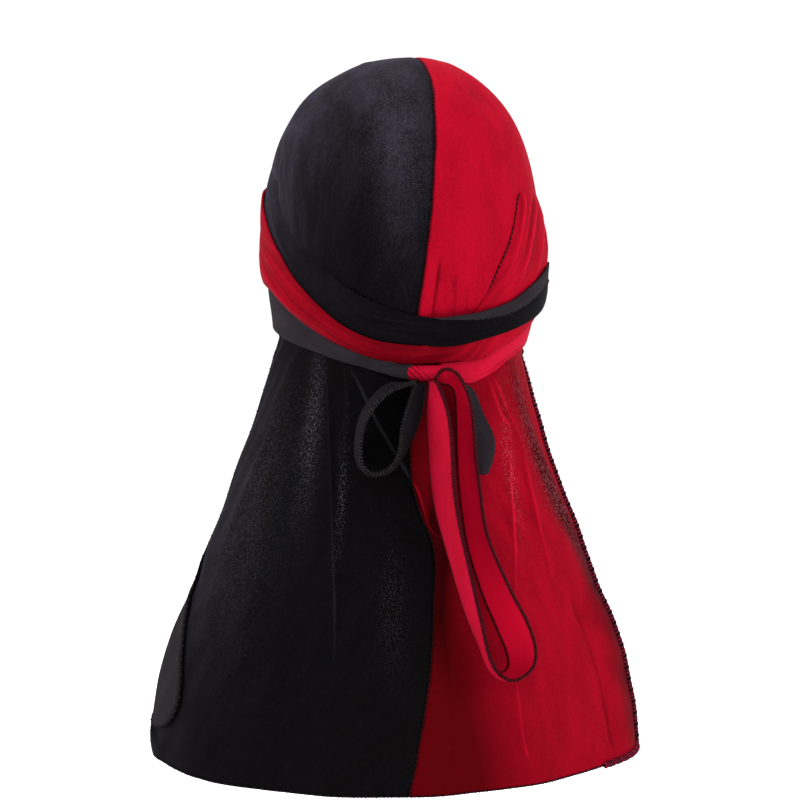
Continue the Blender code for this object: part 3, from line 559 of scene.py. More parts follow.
def overlock(name, path, threads, around=0.0008, pitch=0.0021):
    """Raw edge sewn over with thread: six uneven loops modelled once and repeated along a core."""
    sizes, tilts = (1, 0.82, 1.12, 0.94, 0.86, 1.06), (0.45, 0.25, 0.65, 0.40, 0.55, 0.30)
    group, strand, core_step = len(sizes), 0.42 * around, 0.0014
    reach = travelled(path)
    count = max(int(reach[-1] / (group * pitch)), 1)
    pitch = reach[-1] / (group * count)
    even = np.linspace(0, reach[-1], int(reach[-1] / core_step))
    path = np.stack([np.interp(even, reach, path[:, k]) for k in range(3)], -1)
    line = bpy.data.curves.new(name + "_line", "CURVE")
    line.dimensions = "3D"
    spline = line.splines.new("POLY")
    spline.points.add(len(path) - 1)
    spline.points.foreach_set("co", np.c_[path, np.ones(len(path))].ravel())
    guide = bpy.data.objects.new(name + "_core", line)
    bpy.context.collection.objects.link(guide)
    bpy.ops.object.select_all(action="DESELECT")
    loop = dict(major_segments=8, minor_segments=4, minor_radius=strand)
    bpy.ops.mesh.primitive_torus_add(major_radius=around, location=(0, 0, 0), **loop)
    stitches = bpy.context.object
    stitches.name = name
    bpy.ops.object.mode_set(mode="EDIT")
    for i in range(1, group):
        bpy.ops.mesh.primitive_torus_add(major_radius=sizes[i] * around,
                                         location=(0, 0, i * pitch), **loop)
    bpy.ops.object.mode_set(mode="OBJECT")
    one = len(stitches.data.vertices) // group
    for vertex in stitches.data.vertices:
        x, y, z = vertex.co
        vertex.co = (z + tilts[vertex.index // one] * x + 0.5 * pitch, y, -x)
    for face in stitches.data.polygons:
        face.material_index = face.vertices[0] // one % 2
        face.use_smooth = True
    for finish in threads:
        stitches.data.materials.append(finish)
    repeat = stitches.modifiers.new("repeat", "ARRAY")
    repeat.count = count
    repeat.use_relative_offset = False
    repeat.use_constant_offset = True
    repeat.constant_offset_displace = (group * pitch, 0, 0)
    follow = stitches.modifiers.new("follow", "CURVE")
    follow.object = guide
    bpy.context.view_layer.objects.active = stitches
    for modifier in ("repeat", "follow"):
        bpy.ops.object.modifier_apply(modifier=modifier)
    line.bevel_depth = 0.75 * around
    line.bevel_resolution = 1
    line.use_fill_caps = True
    line.materials.append(threads[0])
    select_only(guide)
    bpy.ops.object.convert(target="MESH")
    stitches.select_set(True)
    bpy.context.view_layer.objects.active = stitches
    bpy.ops.object.join()
    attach(stitches, "root")
    return stitches


def patches(run, across, rows):
    """Soft round patches on the cloth, added up: for each its middle along run and across, its
    reach along both, and its strength."""
    total = np.zeros(run.shape)
    for run_middle, across_middle, run_reach, across_reach, strength in rows:
        total += strength * np.exp(-((run - run_middle) / run_reach)**2
                                   - ((across - across_middle) / across_reach)**2)
    return total


# Seam allowance: how deep and how far aside each of its columns lies
allowance = [(0.0035, 0.00008), (0.0007, 0.00006)]
panel_wall, roll_step = 0.0013, 0.0008


def turn_in(place, out, side):
    """The cloth with its seam allowance before the first column, turned to the wrong side."""
    aside = np.cross(np.gradient(place[:, 0], axis=0), out[:, 0])
    aside /= np.linalg.norm(aside, axis=1, keepdims=True)
    aside *= np.sign(np.sum(aside[:, 0])) * side
    turned = [place[:, 0] - out[:, 0] * deep + aside * shift for deep, shift in allowance]
    return np.concatenate([np.stack(turned, 1), place], 1)


def sew_panel(name, full, out, length, breadth, marks, finishes):
    """Half of the cap and tail with its turned and rolled columns, which take their marks and
    their place on the chart from the columns beside them."""
    extra = full.shape[1] - out.shape[1] - len(allowance)

    def widen(values):
        return np.concatenate([values[:, :1]] * len(allowance) + [values]
                              + [values[:, -1:]] * extra, 1)

    beyond = np.maximum(np.arange(full.shape[1]) - full.shape[1] + extra + 1, 0) * roll_step
    return sew(name, full, (widen(length), widen(breadth) + beyond),
               {mark: widen(value) for mark, value in marks.items()}, finishes, panel_wall,
               widen(out)[:, full.shape[1] // 2])


black_velvet = velvet("black_velvet", painted_crease_shade=(0.0004, 0.0004, 0.0005),
                      deep=(0.0012, 0.0010, 0.0011), bright=(0.0142, 0.0120, 0.0190),
                      painted_ridge_highlight=(0.0075, 0.0070, 0.0085), speck=(0.12, 0.11, 0.12), mottle=0.55,
                      sheen=0.032, sheen_tint=(0.60, 0.55, 0.80))
black_wrong = wrong_side("black_wrong_side", dark=(0.0072, 0.0054, 0.0068),
                         light=(0.0160, 0.0125, 0.0163), sheen=0.05)
black_thread = thread("black_thread", (0.0012, 0.0008, 0.0010), (0.008, 0.006, 0.007))
grey_thread = thread("charcoal_thread", (0.006, 0.005, 0.006), (0.036, 0.033, 0.037))
red_thread = thread("red_thread", (0.035, 0.0006, 0.003), (0.17, 0.006, 0.018))

run, across, place, out, length, breadth, painted_highlight_and_shade = panel_cloth(1)
# Painted glints and painted sheen: specks and brighter pile in patches on the crown, by the seam
# and on the tail
painted_glints_and_worn_knit = 0.02 + patches(run, across, [
    (0.58, 0.09, 0.15, 0.10, 0.30), (0.36, 0.30, 0.20, 0.40, 0.10),
    (1.15, 0.520, 0.18, 0.045, 0.8), (1.30, 0.350, 0.13, 0.018, 0.7),
    (1.34, 0.76, 0.26, 0.14, 0.45), (1.56, 0.11, 0.12, 0.05, 0.25)])
pile_tone_and_painted_light = 0.03 + patches(run, across, [
    (0.27, 0.30, 0.26, 0.60, 1.05), (0.48, 0.85, 0.26, 0.25, 0.75),
    (0.58, 0.08, 0.16, 0.09, 0.65), (1.12, 0.52, 0.20, 0.05, 0.25),
    (1.45, 0.90, 0.45, 0.22, 0.35)])
# The free edge rolls outwards near the hem and lies on the tail there, wrong side out
roll_line = [(1.50, 0.000), (1.58, 0.000), (1.63, 0.050), (1.70, 0.110), (1.785, 0.155),
             (1.857, 0.162), (1.905, 0.115), (1.935, 0.030), (1.95, 0.000), (1.98, 0.000)]
tuck_depth, roll_radius, edge_step, flap_gap = 0.0019, 0.0005, 0.0003, 0.0010
rolled_over = ease((panel_runs - roll_line[0][0]) / 0.09) * ease((1.985 - panel_runs) / 0.04)
tuck = rolled_over[:, None] * ease((panel_shares - 0.75) / 0.25)[None, :]
place = place - out * (tuck_depth * tuck)[..., None]
step = np.linalg.norm(place[:, -1] - place[:, -2], axis=1)
outward = (place[:, -1] - place[:, -2]) / step[:, None]
bend = np.pi * rolled_over[:, None]
rolled = [place[:, -1] + outward * (roll_radius * np.sin(bend * part)
                                    + edge_step * part * (1 - rolled_over[:, None]))
          + out[:, -1] * roll_radius * (1 - np.cos(bend * part))
          for part in np.linspace(0, 1, 7)[1:]]
roll_end = rolled[-1]
standing = outward * np.cos(bend) + out[:, -1] * np.sin(bend)
rows, last = np.arange(len(panel_runs)), len(panel_shares) - 1
flap = np.clip(smooth(panel_runs, roll_line, 1), 0, None) * last
for share in np.linspace(0, 1, 15)[1:]:
    column = last - flap * share
    low = np.floor(column).astype(int)
    part = (column - low)[:, None]
    under = place[rows, low] * (1 - part) + place[rows, np.minimum(low + 1, last)] * part
    lying = under + out[rows, low] * flap_gap * (1 + share**2)
    upright = roll_end + standing * ((edge_step + flap * step) * share)[:, None]
    rolled.append(upright + (lying - upright) * rolled_over[:, None])
full = turn_in(np.concatenate([place, np.stack(rolled, 1)], 1), out, 1)
# Painted shade darkens the panel's wrong side, which shows on the rolled edge
left_panel = sew_panel("left_panel", full, out, length, breadth,
                       dict(painted_glints_and_worn_knit=painted_glints_and_worn_knit, painted_highlight_and_shade=painted_highlight_and_shade, pile_tone_and_painted_light=pile_tone_and_painted_light, shade=0.55 + 0 * run),
                       [black_velvet, black_wrong])
left_hem = overlock("left_hem", np.concatenate([full[-1, 2:], full[::-1, -1][1:],
                                                full[0, ::-1][1:-2]]),
                    [black_thread, grey_thread], 0.0006)
centre_seam = overlock("centre_seam", place[:, 0] + 0.0001 * out[:, 0], [black_thread, red_thread],
                       0.00034, 0.0014)
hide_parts("panel_left")

# Right half: the same in red velvet, joined to the left half by the centre seam. Its side edge
# hangs free and is sewn over in black and red.
red_velvet = velvet("red_velvet", painted_crease_shade=(0.018, 0.0001, 0.0005), deep=(0.045, 0.0001, 0.0009),
                    bright=(0.222, 0.0010, 0.0086), painted_ridge_highlight=(0.34, 0.0020, 0.016),
                    speck=(0.28, 0.085, 0.110), mottle=0.20, sheen=0.07,
                    sheen_tint=(1.0, 0.02, 0.08))
red_wrong = wrong_side("red_wrong_side", dark=(0.22, 0.0014, 0.010),
                       light=(0.34, 0.0030, 0.022), sheen=0.08)
pink_thread = thread("pink_thread", (0.08, 0.003, 0.011), (0.25, 0.012, 0.036))

run, across, place, out, length, breadth, painted_highlight_and_shade = panel_cloth(-1, free=0.11)
# The pile is worn near the side edge, darker and specked with the knit there; more specks lie in
# two patches on the tail
worn = patches(run, across + 0.47 * (run - 1.30), [(1.36, -0.750, 0.28, 0.065, 1.0)])
painted_glints_and_worn_knit = 0.02 + 1.7 * worn + patches(run, across, [(1.25, -0.50, 0.13, 0.030, 1.1),
                                                  (1.05, -0.68, 0.10, 0.05, 0.4)])
# Pile tone with painted light: brighter over the cap, over the tail away from the seam and in a
# patch by the pleat, darker where the pile is worn, with painted shade low on the tail by the seam
pile_tone_and_painted_light = (1.12 * ease((1.12 - run) / 0.3)
          + 0.82 * ease((run - 0.9) / 0.3) * ease((-across - 0.08) / 0.36) - worn
          + patches(run, across, [(1.26, -0.12, 0.16, 0.08, 0.40),
                                  (2.00, -0.30, 0.25, 0.30, -0.35)]))
# Painted shade: the pleat that crosses the seam shades the red cloth beside and under it, and the
# side edge turns away into shade lower on the tail. Where the pile is worn along the side edge it
# is darker too.
beside_edge = np.exp(-((breadth[:, -1:] - breadth) / 0.024)**2) * ease((run - 1.42) / 0.20)
painted_highlight_and_shade -= 0.7 * worn + 0.8 * beside_edge + patches(run, across, [(1.40, -0.11, 0.09, 0.065, 1.5),
                                                              (1.56, -0.090, 0.14, 0.050, 0.9)])
full = turn_in(place, out, -1)
rim = place + 0.0004 * out
right_panel = sew_panel("right_panel", full, out, length, breadth,
                        dict(painted_glints_and_worn_knit=painted_glints_and_worn_knit, painted_highlight_and_shade=painted_highlight_and_shade, pile_tone_and_painted_light=pile_tone_and_painted_light), [red_velvet, red_wrong])
right_hem = overlock("right_hem", full[-1, 2:], [black_thread, red_thread], 0.0006)
on_tail = panel_runs > 0.93
right_edge = overlock("right_edge", np.concatenate([rim[on_tail, -2], rim[-1, ::-1][2:36]]),
                      [black_thread, pink_thread], 0.0015, 0.0011)
right_brow = overlock("right_brow", np.concatenate([full[~on_tail, -1][::-1],
                                                    full[0, ::-1][1:-2]]),
                      [black_thread, red_thread], 0.0006)
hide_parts("panel_right")


# Straps. Each is one long tapered length of the same velvet with its edges turned under. It starts
# wide at the cap's side, crosses the back, twists once over the brow and comes back to the knot
# with its wrong side out.
strap_wall, strap_clear, edge_room, low_lap = 0.0006, 0.0003, 0.0007, 0.0030
tight_roll, loose_roll = 0.00007, 0.00065
twist_run, twist_spread, twist_waist, narrowest = 22, 9, 0.75, 0.0033
knot_turn, knot_run, narrowing, mouth_rise = 338, 10, {1: 0.40, -1: 0.12}, 0.0038
seam_sink, merge_near, merge_far = 0.0027, 0.0034, 0.0200
quarters = (0.25, 0.5, 0.75, 1.0)
edge_columns, flat_columns = 2 * len(quarters), 33
middle_column = edge_columns + flat_columns // 2


def wrap_point(angle, level):
    """Plain cloth at an angle round the cap, in degrees, and a level."""
    angle, level = np.broadcast_arrays(np.radians(angle), level)
    start = np.stack([0 * level, 0 * level, level], -1)
    return meet_cloth(start, np.stack([np.sin(angle), np.cos(angle), 0 * level], -1))


def lift(hand, part, angle, level):
    """Height of a strap's inner side over the cloth, raised where it lies on other passes."""
    below = dict(finish=[], start=[(hand, "finish")],
                 main=[(-hand, "finish"), (-hand, "start")])[part]
    clear = ease((180 - np.abs((angle + 180) % 360 - 180)) / 6)
    height = np.full(np.shape(level), lie_gap)
    for lower, lower_part in below:
        step = lift(lower, lower_part, angle, level) + cloth + lie_gap
        height = np.maximum(height, step * covers(lower, lower_part, angle, level) * clear)
    return height


def edge_roll(half, lap, curl, sign):
    """A strap's edge beyond its flat part, rolled to its wrong side at curl -1 or to its right
    side at curl 1, as columns of (aside, height) for every row."""
    bend = np.pi * np.abs(curl)
    rise = np.where(curl > 0, 1, -1)
    radius = (loose_roll + tight_roll) / 2 - (loose_roll - tight_roll) / 2 * curl
    columns = [(half + radius * np.sin(t * bend), rise * radius * (1 - np.cos(t * bend)))
               for t in quarters]
    rolled_aside, rolled_height = columns[-1]
    for u in quarters:
        columns.append((rolled_aside + lap * u * np.cos(bend),
                        rolled_height + rise * lap * u * np.sin(bend)))
    return sign * np.stack([c[0] for c in columns], 1), np.stack([c[1] for c in columns], 1)


def strap(name, hand, node, finishes, twist, sewn, puff, curl_high, lap_high, pile_tone_and_painted_light,
          creases):
    """A strap along its path. twist is the turn where it is wrong side out from then on, sewn the
    turns between which it is joined to the cap, and puff how far it stands out. The curl and the
    lap of its upper edge, and its pile tone with its painted light, are turns and their values."""
    turns = np.concatenate([np.linspace(-120, 60, 181)[:-1], np.linspace(60, 354.5, 237)])
    middle, half = strap_edges(hand, turns)
    into_knot = ease((turns - knot_turn) / knot_run)
    half *= 1 - narrowing[hand] * into_knot
    half *= 1 - twist_waist * np.exp(-((turns - twist) / twist_spread)**2)
    half = np.maximum(half, narrowest)
    flip = np.pi * ease((turns - twist) / twist_run + 0.5)
    curl = -np.cos(flip)
    flat = half - edge_room
    share = np.linspace(-1, 1, flat_columns)
    crowned = puff * np.minimum(half / 0.012, 1) * np.cos(flip)
    low_side, low_height = edge_roll(flat, np.minimum(low_lap, 0.6 * half), curl, -1)
    curl = np.where(turns < twist - twist_run / 2 - 1, np.interp(turns, *curl_high), curl)
    high_side, high_height = edge_roll(flat, np.minimum(np.interp(turns, *lap_high), half), curl, 1)
    aside = np.concatenate([low_side[:, ::-1], flat[:, None] * share[None, :], high_side], 1)
    height = np.concatenate([low_height[:, ::-1], crowned[:, None] * (1 - share**2)[None, :],
                             high_height], 1)
    tip = flip[:, None]
    over = aside * np.cos(tip) - height * np.sin(tip)
    stand = aside * np.sin(tip) + height * np.cos(tip)
    level = middle[:, None] + over
    angle = np.repeat(hand * turns[:, None], aside.shape[1], axis=1)
    relief = np.zeros(level.shape)
    for line, rise, spread_over, spread_under in creases:
        relief += 0.001 * rise * crease(turns[:, None] + 0 * level, level, (0.00150, 1.0), line,
                                        spread_over, spread_under, 0.45)
    flat_part = np.zeros(level.shape[1])
    flat_part[edge_columns - 2:2 - edge_columns] = 0.6
    flat_part[edge_columns:-edge_columns] = 1
    relief *= flat_part
    # Where a start is sewn to the cap, its upper edge is sunk into the seam
    beside = np.clip(half[:, None] - over, 0, None)
    joined = ease((sewn[1] - turns) / 8) * ease((turns - sewn[0]) / 8)
    merge = merge_near + merge_far * ease((-42 - turns) / 34)
    seam = joined[:, None] * np.exp(-(beside / merge[:, None])**2)
    sink = seam_sink * seam
    relief *= 1 - seam
    plain = wrap_point(angle, level)
    side_step = wrap_point(angle + 0.5, level) - wrap_point(angle - 0.5, level)
    rise_step = wrap_point(angle, level + 0.0005) - wrap_point(angle, level - 0.0005)
    out = np.cross(rise_step, side_step)
    out /= np.linalg.norm(out, axis=-1, keepdims=True)
    out *= np.sign(np.sum(out * plain * (1, 1, 0), axis=-1, keepdims=True))
    base = np.zeros(level.shape)
    for part, (first, last) in passes.items():
        rows = (turns >= first) & ((turns < last) | (part == "finish"))
        base[rows] = lift(hand, part, angle[rows], level[rows])
    for _ in range(14):
        base[1:-1] = (base[:-2] + 2*base[1:-1] + base[2:]) / 4
    # The black end rises into the mouth of the knot, which the red end wraps round it
    if hand < 0:
        base += mouth_rise * into_knot[:, None]
    bottom = strap_clear + strap_wall * (1 - flip / np.pi) + np.sin(flip) * half
    place = plain + out * (base + bottom[:, None] + stand + relief - sink)[..., None]
    chart = (travelled(place[:, middle_column])[:, None] + 0 * level, aside + 0.1)
    # Pile tone with painted light along the turns, with streaks in the pile; painted highlight and
    # shade on the creases, and on the wrong side painted shade in them
    streaks = 1 + ease((turns + 40) / 25)[:, None] * (
        0.22 * np.sin(700 * aside + 2*np.sin(0.09 * turns)[:, None])
        + 0.16 * np.sin(1700 * aside - 3*np.sin(0.05 * turns)[:, None]))
    marks = dict(painted_glints_and_worn_knit=0.02, painted_highlight_and_shade=ridges(relief), shade=np.clip(-1.5 * ridges(relief), 0, 1),
                 pile_tone_and_painted_light=np.interp(turns, *pile_tone_and_painted_light)[:, None] * streaks)
    piece = sew(name, place, chart, marks, finishes, strap_wall,
                out[:, middle_column] * np.where(turns < twist, 1, -1)[:, None])
    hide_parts(node)
    joint = wrap_point(hand * turns, middle + half - 0.75 * merge)
    return piece, turns, place, out, joint + 0.0002 * out[:, -edge_columns - 1]


right_strap, turns, place, out, joint = strap(
    "right_strap", 1, "strap_right", [red_velvet, red_wrong], twist=214,
    sewn=(-130, -16), puff=0.0007, curl_high=([-120, 350], [-1, -1]),
    lap_high=([-120, -10, 0, 350], [0.0012, 0.0015, 0.003, 0.003]),
    pile_tone_and_painted_light=([-120, -30, -5, 15, 45, 70, 350], [1.1, 1.1, 0.3, 0.25, 0.5, 0.6, 0.6]), creases=[
     ([(-52, 0.050), (-41, 0.038), (-37.6, 0.0255), (-33.3, 0.011), (-28.6, -0.004),
       (-25.3, -0.015), (-21, -0.030)], 1.3, 1.1, 2.2),
     ([(-62, 0.046), (-48.5, 0.024), (-41, 0.008), (-35.5, -0.0086), (-28, -0.032)], 1.3, 2.0, 1.3),
     ([(-70, 0.045), (-60, 0.020), (-50, 0.002), (-44.7, -0.015), (-40, -0.03)], 1.5, 2.4, 1.6),
     ([(-80, 0.040), (-69, 0.015), (-63, -0.006), (-54, -0.030)], 1.4, 2.4, 1.6),
     ([(-92, 0.036), (-82, 0.005), (-72, -0.022)], 1.2, 2.5, 2.0),
     ([(-58, 0.052), (-46, 0.034), (-39, 0.018), (-33, 0.000), (-27, -0.018)], 0.7, 1.5, 1.5),
     ([(-66, 0.042), (-54, 0.018), (-46, 0.000), (-40, -0.018)], 0.7, 1.5, 1.5),
     ([(95, -0.008), (78, -0.011), (60, -0.0225), (46.6, -0.034), (34, -0.044)], 1.5, 3, 1.2),
     ([(98, 0.012), (80, 0.000), (62, -0.013), (45, -0.028), (25, -0.0455)], 0.8, 3, 2),
     ([(290, -0.0450), (300, -0.0505), (315, -0.0556), (326, -0.0620), (336, -0.0668),
       (344, -0.0680)], -1.0, 0.9, 0.9)])
left_strap, black_turns, black_place, black_out, _ = strap(
    "left_strap", -1, "strap_left", [black_velvet, black_wrong], twist=226,
    sewn=(-130, -30), puff=0.0006,
    curl_high=([-120, -3, 5, 168, 176, 350], [-1, -1, 1, 1, -1, -1]),
    lap_high=([-120, -12, 0, 6, 40, 90, 150, 170, 200, 350],
              [0.0012, 0.0015, 0.0006, 0.0006, 0.0085, 0.0100, 0.0090, 0.0008, 0.003, 0.003]),
    pile_tone_and_painted_light=([-120, -85, -60, -30, 0, 350], [0.9, 0.75, 0.35, 0.12, 0.06, 0.15]), creases=[
     ([(-40, -0.020), (-20, -0.0315), (0, -0.0365), (16, -0.0365)], 0.9, 0.8, 1.2),
     ([(-34, -0.026), (-15, -0.0375), (4, -0.0405), (20, -0.0385)], 0.8, 0.8, 1.2),
     ([(-80, 0.03), (-66, 0.010), (-50, -0.012)], 1.2, 2.4, 1.6),
     ([(300, -0.030), (325, -0.048), (345, -0.0585)], 0.9, 0.8, 2.0)])
flap_rows = (black_turns > 14) & (black_turns < 160)
left_strap_edge = overlock("left_strap_edge", black_place[flap_rows, -1]
                           + 0.0002 * black_out[flap_rows, -1], [black_thread, grey_thread],
                           0.0006, 0.0018)
lower_rows = (turns > -14) & (turns < 40)
right_strap_edge = overlock("right_strap_edge", place[lower_rows, 6] - 0.0004 * out[lower_rows, 6],
                            [black_thread, red_thread], 0.0005, 0.0016)
seam_rows = (turns > -38) & (turns < -19)
right_strap_seam = overlock("right_strap_seam", joint[seam_rows], [black_thread, pink_thread],
                            0.0005, 0.0014)

# Knot. The end of the red strap goes once round both ends, wrong side out, and is pulled tight in
# slanting gathers. It lies on the nape just under the red strap.
knot_length, knot_high, knot_deep = 0.0256, 0.0042, 0.0044
below_strap, root_gap, gather_deep, gather_high = 0.0018, 0.0003, 0.0006, 0.0003
strap_middle, strap_half = strap_edges(1, np.array(0.0))
knot_level = float(strap_middle - strap_half) - below_strap - knot_high
knot_seat = wrap_point(np.array(0.0), np.array(knot_level))[1] + lie_gap
knot_root = np.array([0, knot_seat, knot_level - knot_high - root_gap - 0.5 * cloth])
along = np.linspace(-1, 1, 97)[1:-1]
ring = np.linspace(0, 2 * np.pi, 57)[:-1]
run, round_it = np.meshgrid(along, ring, indexing="ij")
slant = run - 0.20 * np.sin(round_it)
gathers = (0.5 + 0.5 * np.cos((slant - 0.42) * np.pi * 7.6))**3
gathers = gathers * np.exp(-((slant - 0.45) / 0.42)**2)
size = np.maximum((1 - np.abs(run)**9)**0.5, 0.05)
taper = 1 - 0.45 * ease((run - 0.20) / 0.80)
deep = (knot_deep * taper - gather_deep * gathers) * size
high = (knot_high - gather_high * gathers) * size
x = 0.5 * knot_length * run + 0.0014 * high / knot_high * np.sin(round_it)
bend = wrap_point(np.degrees(x / nape_back), np.full(x.shape, knot_level))[..., 1]
points = np.stack([x, bend + lie_gap + knot_deep * taper + deep * np.cos(round_it),
                   knot_level + high * np.sin(round_it)], -1)
poles = [points[0].mean(0), points[-1].mean(0)]
count, sides = points.shape[:2]
index = np.arange(count * sides).reshape(count, sides)
over = np.roll(index, -1, axis=1)
faces = np.stack([index[:-1], over[:-1], over[1:], index[1:]], -1).reshape(-1, 4).tolist()
faces += [(count * sides, int(b), int(a)) for a, b in zip(index[0], over[0])]
faces += [(count * sides + 1, int(a), int(b)) for a, b in zip(index[-1], over[-1])]
chart = np.concatenate([np.stack([x, 0.004 * round_it], -1).reshape(-1, 2), np.zeros((2, 2))])
# Painted shade in the creases of the gathers
knot = cloth_mesh("knot_wrap", points.reshape(-1, 3).tolist() + [pole.tolist() for pole in poles],
                  faces, chart, dict(shade=np.append(gathers.ravel(), [0, 0])), [red_wrong])
bpy.ops.object.mode_set(mode="EDIT")
bpy.ops.mesh.select_all(action="SELECT")
bpy.ops.mesh.normals_make_consistent(inside=False)
bpy.ops.object.mode_set(mode="OBJECT")
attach(knot, "root")
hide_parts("knot")

# Bow. The strap ends are ribbons with their raw edges sewn over, looped so that the velvet is
# inside and the wrong side outside: a small black loop on the left and a long red one.
stand_off, ribbon_wall = 0.030, 0.0010
# Near edge and far edge of each loop: across, drop and out, as shares of its spread, its length
# from the knot's underside, and the bow's stand-off
black_rows = [(0.16, -0.01, 0.30, 0.11, 0.00, 0.14), (0.36, 0.03, 0.50, 0.28, 0.02, 0.20),
              (0.54, 0.06, 0.66, 0.55, 0.03, 0.22), (0.72, 0.18, 0.76, 0.79, 0.21, 0.22),
              (0.91, 0.42, 0.83, 0.93, 0.44, 0.22), (0.99, 0.68, 0.83, 0.98, 0.71, 0.22),
              (0.96, 0.89, 0.80, 0.94, 0.95, 0.22), (0.83, 1.00, 0.77, 0.78, 1.07, 0.22),
              (0.68, 1.00, 0.77, 0.60, 1.04, 0.22), (0.57, 0.93, 0.76, 0.45, 0.97, 0.22),
              (0.47, 0.76, 0.73, 0.30, 0.77, 0.22), (0.41, 0.51, 0.66, 0.16, 0.52, 0.22),
              (0.34, 0.30, 0.56, 0.09, 0.31, 0.22), (0.25, 0.11, 0.42, 0.05, 0.11, 0.20),
              (0.19, 0.00, 0.34, 0.04, 0.00, 0.16)]
red_rows = [(0.06, -0.012, 0.46, 0.08, 0.000, 0.16), (0.14, -0.048, 0.60, 0.15, 0.003, 0.29),
            (0.27, -0.028, 0.73, 0.22, 0.010, 0.29), (0.35, 0.040, 0.80, 0.27, 0.040, 0.30),
            (0.39, 0.13, 0.85, 0.28, 0.12, 0.33), (0.42, 0.24, 0.88, 0.285, 0.23, 0.37),
            (0.455, 0.36, 0.94, 0.30, 0.35, 0.40), (0.48, 0.45, 0.98, 0.33, 0.45, 0.44),
            (0.56, 0.545, 1.03, 0.385, 0.565, 0.50), (0.76, 0.705, 1.10, 0.52, 0.72, 0.60),
            (0.91, 0.805, 1.13, 0.665, 0.84, 0.67), (1.00, 0.895, 1.16, 0.77, 0.93, 0.70),
            (0.97, 0.96, 1.16, 0.77, 0.975, 0.70), (0.79, 1.00, 1.16, 0.695, 0.99, 0.70),
            (0.645, 0.98, 1.16, 0.63, 0.97, 0.70), (0.56, 0.93, 1.16, 0.545, 0.92, 0.70),
            (0.48, 0.815, 1.16, 0.44, 0.85, 0.67), (0.38, 0.68, 1.13, 0.325, 0.74, 0.60),
            (0.265, 0.495, 1.10, 0.18, 0.565, 0.50), (0.20, 0.34, 1.06, 0.065, 0.41, 0.43),
            (0.17, 0.195, 1.03, 0.015, 0.255, 0.40), (0.14, 0.085, 0.95, -0.005, 0.105, 0.39),
            (0.09, 0.012, 0.68, 0.02, 0.020, 0.34), (0.06, -0.006, 0.42, 0.03, -0.004, 0.20)]


def ribbon(near, far, columns):
    """Points across a ribbon from its near edge to its far one, and each column's share."""
    share = np.linspace(0, 1, columns)
    return near[:, None] * (1 - share)[None, :, None] + far[:, None] * share[None, :, None], share


def bow_loop(name, rows, spread, length, side, finishes, threads, node, camber,
             pile_tone_and_painted_light, shade):
    """A loop to the left, with side 1, or to the right, with side -1, crowned by its camber."""
    table = [(i, *row) for i, row in enumerate(rows)]
    fine = np.linspace(0, len(rows) - 1, (len(rows) - 1) * 9 + 1)
    near, far = (np.stack([side * spread * smooth(fine, table, 1 + first),
                           knot_root[1] + stand_off * smooth(fine, table, 3 + first),
                           knot_root[2] - length * smooth(fine, table, 2 + first)], -1)
                 for first in (0, 3))
    place, share = ribbon(near, far, 17)
    out = sheet_normals(place)
    hollow = place.mean((0, 1)) - place[:, 8]
    away = -np.sign(np.sum(out[:, 8] * hollow))
    ends = ease(np.minimum(fine, len(rows) - 1 - fine) / 2.5)
    bulge = camber * ends[:, None] * (1 - (2*share - 1)**2)[None, :]
    wave = 0.00035 * np.sin(fine * 2.1)[:, None] * np.cos(share * 5)[None, :]
    place = place + away * out * (bulge + wave)[..., None]
    across = np.linalg.norm(far - near, axis=1)
    chart = (travelled(place[:, 8])[:, None] + 0 * share, across[:, None] * share[None, :])
    # Painted highlight, raised with the pile tone, and painted shade on the wrong side
    marks = dict(painted_glints_and_worn_knit=0.02, painted_highlight_and_shade=ridges(bulge * 0.15 + wave) + 0.7 * pile_tone_and_painted_light, pile_tone_and_painted_light=pile_tone_and_painted_light,
                 shade=shade)
    piece = sew(name, place, chart, marks, finishes, ribbon_wall, hollow)
    middle = place + away * sheet_normals(place) * ribbon_wall / 2
    edges = [overlock(name + "_near_edge", middle[:, 0], threads, 0.0009, 0.0009),
             overlock(name + "_far_edge", middle[:, -1], threads, 0.0008, 0.0009)]
    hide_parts(node)
    return piece


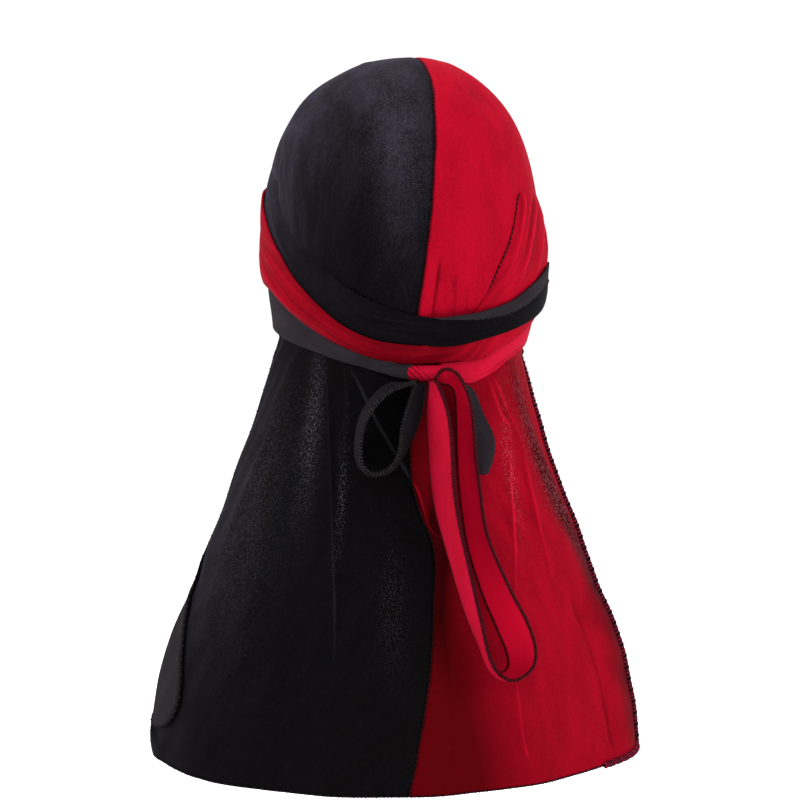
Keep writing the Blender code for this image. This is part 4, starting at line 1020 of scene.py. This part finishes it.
# Painted shade darkens the black loop's wrong side; painted light brightens the red loop's velvet,
# whose wrong side gets a little painted shade
bow_loop("black_bow_loop", black_rows, spread=0.040, length=0.0468, side=1,
         finishes=[black_velvet, black_wrong], threads=[black_thread, grey_thread],
         node="black_loop", camber=0.0010, pile_tone_and_painted_light=0.1,
         shade=0.85)
bow_loop("red_bow_loop", red_rows, spread=0.055, length=0.1608, side=-1,
         finishes=[red_velvet, red_wrong], threads=[black_thread, red_thread],
         node="red_loop", camber=0.0022, pile_tone_and_painted_light=1.7,
         shade=0.3)

# Free end of the black strap, which comes out behind the red loop with its wrong side out and is
# cut off on a slant.
# Rows down its length: middle across, drop, width and distance out, as shares of the end's width,
# its length, its width again and the bow's stand-off
end_rows = [(-0.66, -0.026, 0.30, 0.15), (-0.95, 0.02, 0.56, 0.17), (-1.30, 0.09, 0.72, 0.19),
            (-1.56, 0.34, 0.90, 0.19), (-1.88, 0.60, 1.02, 0.20), (-1.98, 0.81, 0.80, 0.20),
            (-1.96, 1.00, 0.42, 0.20)]
end_width, end_length, end_camber, end_wave = 0.0155, 0.0508, 0.0012, 0.0004
table = [(i, *row) for i, row in enumerate(end_rows)]
fine = np.linspace(0, len(end_rows) - 1, 55)
sides = [np.stack([end_width * (smooth(fine, table, 1) + way * smooth(fine, table, 3)),
                   knot_root[1] + stand_off * smooth(fine, table, 4),
                   knot_root[2] - end_length * smooth(fine, table, 2)], -1)
         for way in (0.5, -0.5)]
place, share = ribbon(*sides, 15)
place[..., 1] += (end_camber * (1 - (2*share - 1)**2)[None, :] * ease(fine / 3)[:, None]
                  + end_wave * np.sin(fine * 1.7)[:, None])
chart = (travelled(place[:, 7])[:, None] + 0 * share, end_width * share[None, :])
black_end = sew("black_bow_end", place, chart, dict(painted_glints_and_worn_knit=0.03, painted_highlight_and_shade=0.0, pile_tone_and_painted_light=0.1),
                [black_velvet, black_wrong], ribbon_wall,
                np.broadcast_to([0.0, -1.0, 0.0], (len(fine), 3)))
end_line = np.concatenate([place[:, -1], place[-1, ::-1][1:], place[::-1, 0][1:]])
end_edge = overlock("black_bow_end_edge", end_line + np.array([0, 0.0005, 0]),
                    [black_thread, grey_thread], 0.0005, 0.0018)
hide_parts("black_end")
